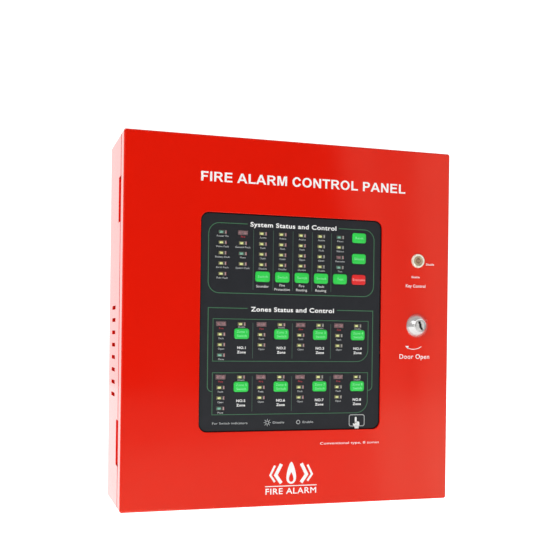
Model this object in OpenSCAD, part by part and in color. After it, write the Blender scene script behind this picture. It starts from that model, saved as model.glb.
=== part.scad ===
// Wall-mounted fire alarm control panel: a red sheet-steel cabinet with a hinged tray door.
// The wall is the plane y = 0, the door's face looks along -Y and +Z is up.
// The origin is the centre of the four wall fixing holes, on the back of the cabinet.

/* [Enclosure] */
// Width of the cabinet and of the door
case_w = 360; // [345:1:480]
// Height of the cabinet and of the door
case_h = 382; // [318:1:500]
// Depth from the wall to the door's face
case_d = 100; // [95:1:140]
// Thickness of the cabinet and door sheet
sheet = 1.5; // [1.2:0.1:2]
// Outer radius of the folded corners
corner_r = 2.4; // [2.2:0.1:4]
// Depth of the door's folded returns
door_return = 18; // [17:0.5:24]
// Width of the shoulder that runs around the cabinet's mouth
rim_w = 12; // [10:0.5:14]
// Height of the upstand that stands on the shoulder, inside the door
lip_h = 11; // [6:0.5:12]

/* [Hinges] */
// Distance of each hinge's centre from the top or bottom edge
hinge_inset = 67; // [50:1:90]
// Length of each hinge
hinge_len = 44; // [30:1:60]
// Distance of the hinge axis from the outer left face
axis_inset = 2.4; // [2.3:0.1:2.6]
// Distance from the door return's rear edge back to the hinge axis
axis_gap = 0.4; // [0.3:0.1:0.6]
// Distance from the hinge axis back to the cabinet's shoulder
rim_gap = 3.2; // [3:0.1:4]
// Radius of the hinge pins
pin_r = 1.1; // [0.9:0.05:1.3]
// Radial clearance between a pin and the door's knuckle
pin_clear = 0.05; // [0.02:0.01:0.1]
// Outer radius of the knuckles
knuckle_r = 2.2; // [1.9:0.1:2.2]
// Thickness of the hinge leaves
leaf_t = 1.2; // [1:0.1:1.4]
// Depth of the notch behind the shoulder that shows each frame leaf
notch_d = 13; // [8:0.5:16]

/* [Wall fixings] */
// Distance of the wall fixing holes from the cabinet's outer faces
fixing_inset = 15; // [14:0.5:16]
// Radius of the wall fixing holes
fixing_r = 3.25; // [2:0.05:3.5]

/* [Cable entries] */
// Number of cable entries in the top wall
entry_count = 3; // [1:1:5]
// Distance between cable entries
entry_pitch = 50; // [30:1:60]
// Radius of the holes in the top wall
entry_r = 10.2; // [8:0.1:13]
// Radius of the hole through each rubber grommet
grommet_bore_r = 7; // [4:0.1:7]

/* [Vents] */
// Number of vent slots in each side wall
vent_count = 8; // [3:1:12]
// Distance between vent slots
vent_pitch = 13; // [8:0.5:16]
// Height of the topmost vent slot above the cabinet's middle
vent_top = 14.4; // [-20:0.1:60]
// Length of each vent slot
vent_len = 30; // [15:1:40]
// Height of each vent slot
vent_h = 4; // [2:0.5:6]

/* [Display] */
// Width of the opening in the door that shows the display
display_w = 200; // [199:1:220]
// Height of the opening in the door that shows the display
display_h = 225; // [200:1:230]
// Distance of the display's centre to the right of the door's middle
display_x = -1; // [-3:0.5:3]
// Corner radius of the opening
display_r = 8.5; // [4:0.5:14]
// Depth of the facia's front below the door's face
recess = 2; // [1.6:0.1:3]
// Thickness of the facia plate
facia_t = 1.6; // [1:0.1:2]
// Width of the facia's hidden margin, which holds the studs
facia_margin = 8; // [7:0.5:12]
// Distance from the facia's back to the display board
board_gap = 4; // [3.8:0.1:6]
// Thickness of the circuit boards
board_t = 1.6; // [1:0.1:2]
// Radius of the door studs
stud_r = 1.5; // [1.25:0.05:2]

/* [Keys] */
// Width of a key
key_w = 15.7; // [12:0.1:17]
// Height of a key
key_h = 10.7; // [8:0.1:11.5]
// Corner radius of a key
key_r = 2.4; // [0.8:0.1:3]
// Height of a key above the facia
key_proud = 1.2; // [0.8:0.1:1.8]
// Distance a key travels when it is pressed
key_travel = 0.4; // [0.2:0.05:0.6]
// Gap around a key in its hole
key_clear = 0.25; // [0.15:0.05:0.5]

/* [Locks] */
// Distance of the door lock's axis from the right face
lock_inset = 38; // [34:0.5:44]
// Radius of the lock bezel where it meets the door
bezel_r = 13; // [12:0.1:15]
// Distance the lock bezel stands out of the door
bezel_h = 8; // [4:0.5:10]
// Radius of the threaded lock barrel
barrel_r = 9.5; // [9.2:0.1:10.5]
// Radius of the lock's turning plug
plug_r = 6; // [4.5:0.1:6.5]
// Radial clearance around both turning plugs
plug_clear = 0.05; // [0.02:0.01:0.1]
// Distance the cam reaches in behind the cabinet's shoulder
cam_reach = 6; // [3:0.5:8]
// Height of the key switch above the cabinet's middle
switch_z = 70.9; // [60:0.1:100]
// Radius of the key switch bezel
switch_bezel_r = 8; // [7:0.1:9]
// Radius of the key switch barrel
switch_barrel_r = 6; // [5.8:0.1:6.5]
// Radius of the key switch's turning plug
switch_plug_r = 4.6; // [4:0.1:4.8]

/* [Main board] */
// Width of the main board
main_w = 216; // [180:1:222]
// Height of the main board
main_h = 146; // [120:1:150]
// Distance from the left wall to the main board
main_left = 26.5; // [24:0.5:30]
// Distance from the top wall to the main board
main_top = 32; // [24:0.5:40]
// Height of the standoffs under the main board
standoff_h = 10; // [6:0.5:15]

/* [Power supply] */
// Width of the power supply's case
supply_w = 80; // [60:1:84]
// Height of the power supply's case
supply_h = 142; // [100:1:150]
// Depth of the power supply's case
supply_d = 38; // [25:1:42]
// Distance from the right wall to the power supply
supply_right = 24; // [22:0.5:28]

/* [Batteries] */
// Width of each standby battery
battery_w = 151; // [100:1:151]
// Depth of each standby battery
battery_d = 65; // [50:1:66]
// Height of each standby battery's case
battery_h = 94; // [60:1:98]
// Gap between the two batteries
battery_gap = 3; // [1:0.5:6]

/* [Hidden] */
$fn = 48;
eps = 0.01;
over = 1;

// Planes along Y, from the door's face back to the wall
face_y = -case_d;
skin_y = face_y + sheet;
return_y = face_y + door_return;
axis_y = return_y + axis_gap;
rim_y = axis_y + rim_gap;
inner_y = -sheet;
facia_y = face_y + recess;
facia_back = facia_y + facia_t;
display_y = facia_back + board_gap;
display_back = display_y + board_t;
main_y = inner_y - standoff_h - board_t;

// Planes along X and Z
half_w = case_w / 2;
half_h = case_h / 2;
inner_x = half_w - sheet;
inner_z = half_h - sheet;
lip_x = half_w - rim_w;
lip_z = half_h - rim_w;

// Hinges
axis_x = -half_w + axis_inset;
hinge_z = half_h - hinge_inset;
notch_side_clear = 1.2;
leaf_clear = 0.4;
knuckle_gap = 0.2;
knuckle_half = hinge_len / 8 + knuckle_gap;
frame_leaf_w = 30;
door_leaf_w = 13.5;
pin_head_r = pin_r + 0.6;
pin_head_t = 0.5;

// Wall fixings, cable entries and vents
fixing_x = half_w - fixing_inset;
fixing_drop = 11;
fixing_z = half_h - fixing_inset - fixing_drop;
entry_left = 80;
entry_x0 = -half_w + entry_left;
entry_y = -38;
grommet_flange_r = entry_r + 2.4;
grommet_flange_t = 1.3;
vent_y = -38;

// Display plate and its fixings
facia_w = display_w + 2 * facia_margin;
facia_h = display_h + 2 * facia_margin;
gasket_edge = 1;
board_edge = 1;
stud_x = display_w / 2 + facia_margin / 2;
stud_z = display_h / 2 + facia_margin / 2;
stud_clear = 0.2;
stud_over = 4;
stud_end = display_back + stud_over;
spacer_r = 2.8;
nut_af_r = 3.18;
nut_t = 2.4;
STUDS = [for (x = [display_x - stud_x, display_x + stud_x], z = [-stud_z, 0, stud_z]) [x, z]];

// Indicator grid of the system field
led_x0 = display_x - 76.8;
led_pitch_x = 21.55;
led_z0 = 93;
led_pitch_z = 10.73;
function led_at(column, row) = [led_x0 + column * led_pitch_x, led_z0 - row * led_pitch_z];

// Indicator grid of the zone fields
zone_x0 = display_x - 77.1;
zone_pitch = 43.1;
zone_z0 = -1.4;
zone_field = 54.8;
zone_key_dx = 21.6;
zone_key_dz = -10;
function zone_at(zone, step) =
    [zone_x0 + (zone % 4) * zone_pitch, zone_z0 - floor(zone / 4) * zone_field - step * led_pitch_z];

ZONES = [0 : 7];
window_w = 8.9;
window_h = 4.1;
wide_window_w = 11.2;
wide_window_h = 5.3;

WIDE = concat([led_at(1, 0)], [for (i = ZONES) zone_at(i, 0)]);
RED_SINGLE = [led_at(6, 2)];
GREEN = concat(
    [led_at(0, 0), led_at(1, 2), led_at(6, 0), led_at(6, 3)],
    [for (i = [0, 4]) zone_at(i, 3)]
);
YELLOW = concat(
    [for (row = [1 : 4]) led_at(0, row)],
    [led_at(1, 1), led_at(1, 3), led_at(6, 1)],
    [for (column = [2 : 5], row = [0 : 3]) led_at(column, row)],
    [for (i = ZONES, step = [1, 2]) zone_at(i, step)],
    [for (i = ZONES) zone_at(i, 0) + [zone_key_dx, 0]]
);
SMALL = concat(RED_SINGLE, GREEN, YELLOW);

// Light-emitting diodes
led_w = 3.4;
led_h = 2.7;
led_tall = 3;
led_shift = -1.9;
wide_led_shift = 2.7;

// Keys: name, place and colour
system_key_z = 48.2;
silence_key_z = 70.6;
right_key_x = led_x0 + 7 * led_pitch_x;
SYSTEM_KEYS = ["key_sounder", "key_fire_protection", "key_fire_routing", "key_fault_routing", "key_test"];
ZONE_KEYS = [for (i = ZONES) str("key_zone_", i + 1)];
KEYS = concat(
    [for (i = [0 : 4]) [SYSTEM_KEYS[i], [led_x0 + (i + 2) * led_pitch_x, system_key_z], "limegreen"]],
    [
        ["key_reset", [right_key_x, led_z0], "limegreen"],
        ["key_silence", [right_key_x, silence_key_z], "limegreen"],
        ["key_evacuate", [right_key_x, system_key_z], "red"]
    ],
    [for (i = ZONES) [ZONE_KEYS[i], zone_at(i, 0) + [zone_key_dx, zone_key_dz], "limegreen"]]
);
key_flange = 1.3;
key_flange_t = 0.8;
key_rest_gap = 0.05;
key_stem_r = 1.75;
tact_w = 6;
tact_h = 2;
press_gap = 0.1;

// Components on the back of the display board
DISPLAY_CHIPS = [for (x = [-70, -40, -10, 20], z = [-60, 30]) [display_x + x, z]];
display_chip_w = 12;
display_chip_h = 8;
header_x = display_x - 90;
header_z = -8;
header_w = 9;
header_h = 38;
header_tall = 9;
header_wall = 1.5;
header_floor = 3;
buzzer_at = [display_x + 62, 75];
buzzer_r = 6;
buzzer_tall = 8.5;
buzzer_hole_r = 1;
buzzer_hole_deep = 2.5;

// Door lock
lock_x = half_w - lock_inset;
lock_z = 0;
lock_at = [lock_x, lock_z];
lock_front = face_y - bezel_h;
bezel_front_r = 9.6;
plug_head_r = 8.2;
plug_head_t = 3;
barrel_flat = 8.4;
hole_clear = 0.1;
lock_nut_r = 13.8;
lock_nut_t = 4;
cam_gap = 1;
cam_t = 2;
cam_w = 13;
cam_y = rim_y + sheet + cam_gap;
cam_end = cam_y + cam_t;
cam_l = lock_inset - rim_w + cam_reach;
cam_square = 6;
cam_square_clear = 0.05;
cam_seat = 0.5;
cam_screw_r = 2;
cam_screw_l = 8;
cam_screw_head_r = 4;
cam_screw_head_t = 2.2;
cam_screw_slot = [4.4, 2, 0.9];
cam_screw_cross = [0.9, 2, 4.4];
keyway_w = 1.8;
keyway_l = 4.8;
keyway_deep = 12;

// Key switch
switch_x = lock_x;
switch_bezel_h = 2.5;
switch_barrel_l = 20;
switch_end = face_y + switch_barrel_l;
switch_at = [switch_x, switch_z];
switch_nut_r = 10.4;
switch_nut_t = 2.5;
switch_tail_r = 2.4;
switch_tail_l = 7;
switch_tail_gap = 0.5;
switch_block_r = 8;
switch_block_l = 10;
switch_slot_w = 1.3;
switch_slot_l = 6;
switch_slot_deep = 5;

// Main board
main_x0 = -inner_x + main_left;
main_z1 = inner_z - main_top;
main_z0 = main_z1 - main_h;
standoff_inset = 5;
standoff_r = 3.2;
screw_r = 1.5;
screw_l = 6;
screw_head_r = 2.8;
screw_head_t = 2;
MAIN_HOLES = [
    for (x = [main_x0 + standoff_inset, main_x0 + main_w / 2, main_x0 + main_w - standoff_inset],
         z = [main_z0 + standoff_inset, main_z1 - standoff_inset]) [x, z]
];
pole_pitch = 5.08;
block_poles = 7;
block_w = block_poles * pole_pitch;
block_h = 10;
block_tall = 12;
block_inset = 9;
block_edge = 0.5;
block_hole_r = 1.7;
block_hole_deep = 3;
block_far = main_w / 2 - block_inset - block_w;
BLOCKS = [
    for (z = [main_z0 + block_edge, main_z1 - block_edge - block_h],
         half = [0, main_w / 2], x = [block_inset, block_far])
        [main_x0 + half + x, z]
];
relay_w = 15.5;
relay_h = 19;
relay_tall = 15.5;
relay_left = 18;
relay_pitch = 21;
relay_drop = 38;
RELAYS = [for (i = [0 : 4]) [main_x0 + relay_left + i * relay_pitch, main_z1 - relay_drop]];
fuse_r = 2.6;
fuse_l = 20;
fuse_clip = 6;
fuse_clip_wall = 0.8;
fuse_left = 24;
fuse_up = 26;
fuse_pitch = 14;
FUSES = [for (i = [0 : 3]) [main_x0 + fuse_left + i * fuse_pitch, main_z0 + fuse_up]];

// Capacitors: distance from the board's left and bottom edges, radius and height
CAPACITORS = [
    [150, 55, 8, 25],
    [171, 55, 8, 25],
    [190, 52, 5, 16],
    [190, 68, 5, 16],
    [150, 90, 6.3, 20]
];

// Chips: distance from the board's left and bottom edges, width and height
CHIPS = concat(
    [[62, 68, 16, 16]],
    [for (i = [0 : 5]) [28 + i * 17, 92, 8, 12]],
    [for (i = [0 : 2]) [100 + i * 14, 62, 7, 14]]
);
chip_t = 1.8;

// Power supply
supply_x1 = inner_x - supply_right;
supply_x0 = supply_x1 - supply_w;
supply_z1 = main_z1;
supply_z0 = supply_z1 - supply_h;
supply_sheet = 1;
supply_hole_r = 2;
supply_hole_pitch = 8;
supply_strip_h = 12;
supply_strip_d = 16;
strip_poles = 7;
strip_edge = 0.5;
strip_hole_r = 3;
strip_hole_deep = 2;
supply_hole_left = 8;
supply_hole_drop = 20;
supply_hole_rows = 6;

// Batteries and their strap
battery_z0 = -inner_z;
battery_y = inner_y - battery_d;
battery_lid_h = 12;
battery_lid_step = 1;
battery_tab_inset = 12;
battery_tab_y = battery_y + 8;
battery_tab_w = 6.3;
battery_tab_t = 1;
battery_tab_h = 6;
battery_span = battery_w + battery_gap / 2;
strap_t = 1.2;
strap_h = 18;
strap_clear = 0.5;
strap_z = battery_z0 + battery_h * 0.55;
strap_foot = 12;
strap_x = battery_span + strap_clear;
strap_end = strap_x + strap_t;
strap_screw_x = strap_end + strap_foot / 2;
strap_z0 = strap_z - strap_h / 2;
strap_y = battery_y - strap_clear;
strap_screw_r = 2;
strap_screw_head_r = 3.6;
earth_x = -fixing_x;
earth_z = -58;
earth_r = 2;
earth_l = 18;
earth_nut_r = 4;
earth_nut_t = 3;
earth_washer_r = 4.5;
earth_washer_t = 1;
earth_washer_y = inner_y - 6;

// Extrudes a flat outline drawn in X and Z, from the plane y0 back by t
module slab(y0, t) {
    translate([0, y0 + t, 0])
        rotate([90, 0, 0])
            linear_extrude(height = t)
                children();
}

// A rectangle centred on the origin with round corners
module round_rect(w, h, r) {
    square([w, h - 2 * r], center = true);
    square([w - 2 * r, h], center = true);
    for (x = [-1, 1], z = [-1, 1])
        translate([x * (w / 2 - r), z * (h / 2 - r)]) circle(r = r);
}

// The display opening's outline, grown by an even margin
module display_outline(margin) {
    translate([display_x, 0]) round_rect(display_w + 2 * margin, display_h + 2 * margin, display_r);
}

// The outline of the plates behind the opening, less an even margin
module display_plate(margin) {
    translate([display_x, 0]) square([facia_w - 2 * margin, facia_h - 2 * margin], center = true);
}

// A cylinder along Y between two planes
module rod(at, r, y0, y1) {
    translate([at[0], y1, at[1]])
        rotate([90, 0, 0])
            cylinder(r = r, h = y1 - y0);
}

// A box given by its two opposite corners
module block(low, high) {
    translate(low) cube(high - low);
}

// A hexagon nut along Y with a round hole
module hex_nut(at, r, bore, y0, y1) {
    difference() {
        translate([at[0], y1, at[1]]) rotate([90, 0, 0]) cylinder(r = r, h = y1 - y0, $fn = 6);
        rod(at, bore, y0 - eps, y1 + eps);
    }
}

// The outline of the cabinet and door, less an even margin
module outline(margin) {
    round_rect(case_w - 2 * margin, case_h - 2 * margin, max(corner_r - margin, 0.4));
}

// The slot shape of a vent, across a side wall
module vent_slot(x, z) {
    translate([x - 2 * sheet, vent_y - vent_len / 2 + vent_h / 2, z - vent_h / 2])
        cube([4 * sheet, vent_len - vent_h, vent_h]);
    for (y = [-1, 1])
        translate([x - 2 * sheet, vent_y + y * (vent_len - vent_h) / 2, z])
            rotate([0, 90, 0]) cylinder(r = vent_h / 2, h = 4 * sheet);
}

module cabinet_shell() {
    color("firebrick")
    difference() {
        union() {
            slab(rim_y, -rim_y) outline(0);
            slab(rim_y - lip_h, lip_h + sheet) square([2 * lip_x, 2 * lip_z], center = true);
        }
        slab(rim_y + sheet, -rim_y - 2 * sheet) outline(sheet);
        slab(rim_y - lip_h - over, lip_h + sheet + 2 * over)
            square([2 * (lip_x - sheet), 2 * (lip_z - sheet)], center = true);
        for (x = [-fixing_x, fixing_x], z = [-fixing_z, fixing_z]) rod([x, z], fixing_r, -2 * sheet, over);
        for (x = [-strap_screw_x, strap_screw_x]) rod([x, strap_z], strap_screw_r, -2 * sheet, over);
        for (i = [0 : entry_count - 1])
            translate([entry_x0 + i * entry_pitch, entry_y, inner_z - over])
                cylinder(r = entry_r, h = sheet + 2 * over);
        for (x = [-half_w, half_w], i = [0 : vent_count - 1]) vent_slot(x, vent_top - i * vent_pitch);
        for (z = [-hinge_z, hinge_z])
            block(
                [-half_w - over, rim_y - over, z - hinge_len / 2 - notch_side_clear],
                [-inner_x + leaf_t + leaf_clear, rim_y + notch_d, z + hinge_len / 2 + notch_side_clear]
            );
    }
}

module cable_grommets() {
    color("dimgray")
    for (i = [0 : entry_count - 1])
        translate([entry_x0 + i * entry_pitch, entry_y, 0])
            difference() {
                union() {
                    translate([0, 0, inner_z - grommet_flange_t])
                        cylinder(r = grommet_flange_r, h = grommet_flange_t);
                    translate([0, 0, inner_z - grommet_flange_t])
                        cylinder(r = entry_r, h = sheet + 2 * grommet_flange_t);
                    translate([0, 0, half_h]) cylinder(r = grommet_flange_r, h = grommet_flange_t);
                }
                translate([0, 0, inner_z - grommet_flange_t - over])
                    cylinder(r = grommet_bore_r, h = sheet + 2 * grommet_flange_t + 2 * over);
            }
}

// One knuckle around the hinge axis, between two heights
module knuckle(z0, z1) {
    translate([axis_x, axis_y, z0]) cylinder(r = knuckle_r, h = z1 - z0);
}

module hinge_frame_leaves() {
    color("firebrick")
    for (z = [-hinge_z, hinge_z])
        difference() {
            union() {
                block(
                    [-inner_x, axis_y, z - hinge_len / 2],
                    [-inner_x + leaf_t, axis_y + frame_leaf_w, z + hinge_len / 2]
                );
                knuckle(z - hinge_len / 2, z - hinge_len / 4);
                knuckle(z + hinge_len / 4, z + hinge_len / 2);
            }
            block(
                [axis_x - 2 * knuckle_r, axis_y - 2 * knuckle_r, z - hinge_len / 4],
                [axis_x + 2 * knuckle_r, axis_y + knuckle_r + leaf_clear, z + hinge_len / 4]
            );
            translate([axis_x, axis_y, z - hinge_len]) cylinder(r = pin_r, h = 2 * hinge_len);
        }
}

module hinge_door_leaves() {
    color("firebrick")
    for (z = [-hinge_z, hinge_z])
        difference() {
            union() {
                block(
                    [-inner_x, axis_y - door_leaf_w, z - hinge_len / 2],
                    [-inner_x + leaf_t, axis_y, z + hinge_len / 2]
                );
                knuckle(z - hinge_len / 4 + knuckle_gap, z + hinge_len / 4 - knuckle_gap);
            }
            for (s = [-1, 1])
                translate([0, 0, z + s * 3 * hinge_len / 8])
                    block(
                        [axis_x - 2 * knuckle_r, axis_y - knuckle_r - leaf_clear, -knuckle_half],
                        [axis_x + 2 * knuckle_r, axis_y + knuckle_r, knuckle_half]
                    );
            translate([axis_x, axis_y, z - hinge_len])
                cylinder(r = pin_r + pin_clear, h = 2 * hinge_len);
        }
}

module hinge_pins() {
    color("silver")
    for (z = [-hinge_z, hinge_z])
        translate([axis_x, axis_y, z - hinge_len / 2 - pin_head_t]) {
            cylinder(r = pin_r, h = hinge_len + 2 * pin_head_t);
            cylinder(r = pin_head_r, h = pin_head_t);
            translate([0, 0, hinge_len + pin_head_t]) cylinder(r = pin_head_r, h = pin_head_t);
        }
}

module main_board() {
    color("darkgreen")
    difference() {
        block([main_x0, main_y, main_z0], [main_x0 + main_w, main_y + board_t, main_z1]);
        for (at = MAIN_HOLES) rod(at, screw_r + stud_clear, main_y - over, main_y + board_t + over);
    }
}

module board_standoffs() {
    color("silver")
    for (at = MAIN_HOLES) hex_nut(at, standoff_r, screw_r, main_y + board_t, inner_y);
}

module cabinet_screws() {
    color("gainsboro") {
        for (at = MAIN_HOLES) {
            rod(at, screw_r, main_y, main_y + screw_l);
            rod(at, screw_head_r, main_y - screw_head_t, main_y);
        }
        for (x = [-strap_screw_x, strap_screw_x]) {
            rod([x, strap_z], strap_screw_r, inner_y - strap_t, 0);
            rod([x, strap_z], strap_screw_head_r, inner_y - strap_t - screw_head_t, inner_y - strap_t);
        }
    }
}

// A box on the front of the main board, with its lower left corner at a place
module on_board(at, w, h, tall) {
    block([at[0], main_y - tall, at[1]], [at[0] + w, main_y, at[1] + h]);
}

module terminal_blocks() {
    block_y = main_y - block_tall;
    color("seagreen")
    for (at = BLOCKS)
        difference() {
            on_board(at, block_w, block_h, block_tall);
            for (i = [0 : block_poles - 1])
                rod(
                    [at[0] + (i + 0.5) * pole_pitch, at[1] + block_h / 2],
                    block_hole_r, block_y - over, block_y + block_hole_deep
                );
        }
}

module relays() {
    color("royalblue")
    for (at = RELAYS) on_board(at, relay_w, relay_h, relay_tall);
}

module capacitors() {
    color("darkslateblue")
    for (c = CAPACITORS) rod([main_x0 + c[0], main_z0 + c[1]], c[2], main_y - c[3], main_y);
}

module fuses() {
    color("silver")
    for (at = FUSES) {
        translate([at[0], main_y - fuse_clip, at[1]]) cylinder(r = fuse_r, h = fuse_l);
        for (z = [1, fuse_l - fuse_clip])
            on_board(
                [at[0] - fuse_r - fuse_clip_wall, at[1] + z],
                2 * (fuse_r + fuse_clip_wall), fuse_clip - 1, fuse_clip
            );
    }
}

module board_chips() {
    color("black")
    for (c = CHIPS) on_board([main_x0 + c[0], main_z0 + c[1]], c[2], c[3], chip_t);
}

module power_supply_case() {
    front = inner_y - supply_d;
    back = inner_y - supply_sheet;
    left = supply_x0 + supply_sheet;
    right = supply_x1 - supply_sheet;
    strip_z1 = supply_z0 + supply_strip_h;
    hole_columns = floor((supply_w - 2 * supply_hole_left) / supply_hole_pitch);
    color("silver")
    difference() {
        block([supply_x0, front, supply_z0], [supply_x1, inner_y, supply_z1]);
        block([left, front + supply_sheet, strip_z1 + supply_sheet], [right, back, supply_z1 - supply_sheet]);
        block([left, front - over, supply_z0 - over], [right, back, strip_z1]);
        for (x = [0 : hole_columns], z = [0 : supply_hole_rows - 1])
            rod(
                [supply_x0 + supply_hole_left + x * supply_hole_pitch,
                 supply_z1 - supply_hole_drop - z * supply_hole_pitch],
                supply_hole_r, front - over, front + 2 * supply_sheet
            );
    }
}

module power_supply_terminals() {
    back = inner_y - supply_sheet;
    front = back - supply_strip_d;
    color("black")
    difference() {
        block(
            [supply_x0 + supply_sheet, front, supply_z0 + strip_edge],
            [supply_x1 - supply_sheet, back, supply_z0 + supply_strip_h]
        );
        for (i = [0 : strip_poles - 1])
            rod(
                [supply_x0 + supply_w * (i + 0.5) / strip_poles, supply_z0 + supply_strip_h / 2],
                strip_hole_r, front - over, front + strip_hole_deep
            );
    }
}

// One sealed battery with a stepped lid, its lower left corner at x
module battery(x) {
    shoulder_z = battery_z0 + battery_h - battery_lid_h;
    step = battery_lid_step;
    block([x, battery_y, battery_z0], [x + battery_w, inner_y, shoulder_z]);
    block(
        [x + step, battery_y + step, shoulder_z - eps],
        [x + battery_w - step, inner_y - step, battery_z0 + battery_h]
    );
}

module battery_left() {
    color("dimgray") battery(-battery_span);
}

module battery_right() {
    color("dimgray") battery(battery_gap / 2);
}

module battery_terminals() {
    tab_far = battery_w - battery_tab_inset - battery_tab_w;
    color("goldenrod")
    for (x = [-battery_span, battery_gap / 2], tab_x = [battery_tab_inset, tab_far])
        translate([x + tab_x, battery_tab_y, battery_z0 + battery_h])
            cube([battery_tab_w, battery_tab_t, battery_tab_h]);
}

// Half of the strap's section in X and Y: the front, the side and the foot against the back wall
module strap_half() {
    translate([-eps, strap_y - strap_t]) square([strap_end + eps, strap_t]);
    translate([strap_x, strap_y - strap_t]) square([strap_t, inner_y - strap_y + strap_t]);
    translate([strap_x, inner_y - strap_t]) square([strap_t + strap_foot, strap_t]);
}

module battery_strap() {
    color("silver")
    difference() {
        translate([0, 0, strap_z0])
            linear_extrude(height = strap_h)
                for (side = [0, 1]) mirror([side, 0]) strap_half();
        for (x = [-strap_screw_x, strap_screw_x])
            rod([x, strap_z], strap_screw_r, inner_y - 2 * strap_t, inner_y + over);
    }
}

module earth_stud() {
    color("gold") {
        rod([earth_x, earth_z], earth_r, inner_y - earth_l, inner_y);
        hex_nut([earth_x, earth_z], earth_nut_r, earth_r, earth_washer_y - earth_nut_t, earth_washer_y);
        difference() {
            rod([earth_x, earth_z], earth_washer_r, earth_washer_y, earth_washer_y + earth_washer_t);
            rod([earth_x, earth_z], earth_r, earth_washer_y - over, earth_washer_y + 2 * earth_washer_t);
        }
    }
}

// The lock barrel's section: a circle with two flats
module barrel_section(clear) {
    intersection() {
        circle(r = barrel_r + clear);
        square([2 * (barrel_flat + clear), 4 * barrel_r], center = true);
    }
}

module door_panel() {
    color("red")
    difference() {
        slab(face_y, door_return) outline(0);
        slab(skin_y, door_return) outline(sheet);
        slab(face_y - over, sheet + 2 * over) display_outline(0);
        translate([lock_x, 0, lock_z]) slab(face_y - over, sheet + 2 * over) barrel_section(hole_clear);
        rod([switch_x, switch_z], switch_barrel_r + hole_clear, face_y - over, skin_y + over);
        for (z = [-hinge_z, hinge_z])
            block(
                [-half_w - over, axis_y - knuckle_r - leaf_clear, z - hinge_len / 2 - notch_side_clear],
                [-inner_x + leaf_t, return_y + over, z + hinge_len / 2 + notch_side_clear]
            );
    }
}

module facia_gasket() {
    color("black")
    difference() {
        slab(skin_y, facia_y - skin_y) display_plate(0);
        slab(skin_y - over, facia_y - skin_y + 2 * over) display_outline(gasket_edge);
        for (at = STUDS) rod(at, stud_r + stud_clear, skin_y - over, facia_y + over);
    }
}

module facia_plate() {
    color("darkslategray")
    difference() {
        slab(facia_y, facia_t) display_plate(0);
        slab(facia_y - over, facia_t + 2 * over) {
            for (at = SMALL) translate(at) square([window_w, window_h], center = true);
            for (at = WIDE) translate(at) square([wide_window_w, wide_window_h], center = true);
            for (key = KEYS)
                translate(key[1])
                    round_rect(key_w + 2 * key_clear, key_h + 2 * key_clear, key_r + key_clear);
        }
        for (at = STUDS) rod(at, stud_r + stud_clear, facia_y - over, facia_back + over);
    }
}

module display_board() {
    color("darkgreen")
    difference() {
        slab(display_y, board_t) display_plate(board_edge);
        for (at = STUDS) rod(at, stud_r + stud_clear, display_y - over, display_back + over);
    }
}

module display_studs() {
    color("silver")
    for (at = STUDS) rod(at, stud_r, skin_y, stud_end);
}

module display_spacers() {
    color("ivory")
    for (at = STUDS)
        difference() {
            rod(at, spacer_r, facia_back, display_y);
            rod(at, stud_r + stud_clear, facia_back - over, display_y + over);
        }
}

module display_nuts() {
    color("silver")
    for (at = STUDS) hex_nut(at, nut_af_r, stud_r, display_back, display_back + nut_t);
}

// One light-emitting diode on the front of the display board
module led(at, shift) {
    translate([at[0] + shift, display_y - led_tall / 2, at[1]])
        cube([led_w, led_tall, led_h], center = true);
}

module leds_red() {
    color("indianred") {
        for (at = WIDE, s = [-wide_led_shift, wide_led_shift]) led(at, s);
        for (at = RED_SINGLE) led(at, led_shift);
    }
}

module leds_yellow() {
    color("khaki")
    for (at = YELLOW) led(at, led_shift);
}

module leds_green() {
    color("mediumseagreen")
    for (at = GREEN) led(at, led_shift);
}

module tact_switches() {
    color("black")
    for (key = KEYS)
        translate([key[1][0], display_y - tact_h / 2, key[1][1]])
            cube([tact_w, tact_h, tact_w], center = true);
}

module display_chips() {
    color("black")
    for (at = DISPLAY_CHIPS)
        translate([at[0], display_back, at[1]]) cube([display_chip_w, chip_t, display_chip_h]);
}

module ribbon_header() {
    color("gray")
    difference() {
        translate([header_x, display_back, header_z]) cube([header_w, header_tall, header_h]);
        translate([header_x + header_wall, display_back + header_floor, header_z + header_wall])
            cube([header_w - 2 * header_wall, header_tall, header_h - 2 * header_wall]);
    }
}

module buzzer() {
    color("black")
    difference() {
        rod(buzzer_at, buzzer_r, display_back, display_back + buzzer_tall);
        rod(
            buzzer_at, buzzer_hole_r,
            display_back + buzzer_tall - buzzer_hole_deep, display_back + buzzer_tall + over
        );
    }
}

module key_switch_body() {
    color("silver")
    difference() {
        union() {
            rod(switch_at, switch_bezel_r, face_y - switch_bezel_h, face_y);
            rod(switch_at, switch_barrel_r, face_y, switch_end);
        }
        rod(switch_at, switch_plug_r + plug_clear, face_y - switch_bezel_h - over, switch_end + over);
    }
}

module key_switch_nut() {
    color("silver") hex_nut(switch_at, switch_nut_r, switch_barrel_r, skin_y, skin_y + switch_nut_t);
}

module key_switch_contacts() {
    color("black")
    difference() {
        rod(switch_at, switch_block_r, switch_end, switch_end + switch_block_l);
        rod(
            switch_at, switch_tail_r + plug_clear,
            switch_end - over, switch_end + switch_tail_l + switch_tail_gap
        );
    }
}

module key_switch_rotor() {
    color("gainsboro")
    difference() {
        union() {
            rod(switch_at, switch_plug_r, face_y - switch_bezel_h, switch_end - plug_clear);
            rod(switch_at, switch_tail_r, switch_end - over, switch_end + switch_tail_l);
        }
        translate([switch_x, face_y - switch_bezel_h, switch_z])
            cube([switch_slot_w, 2 * switch_slot_deep, switch_slot_l], center = true);
    }
}

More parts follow.
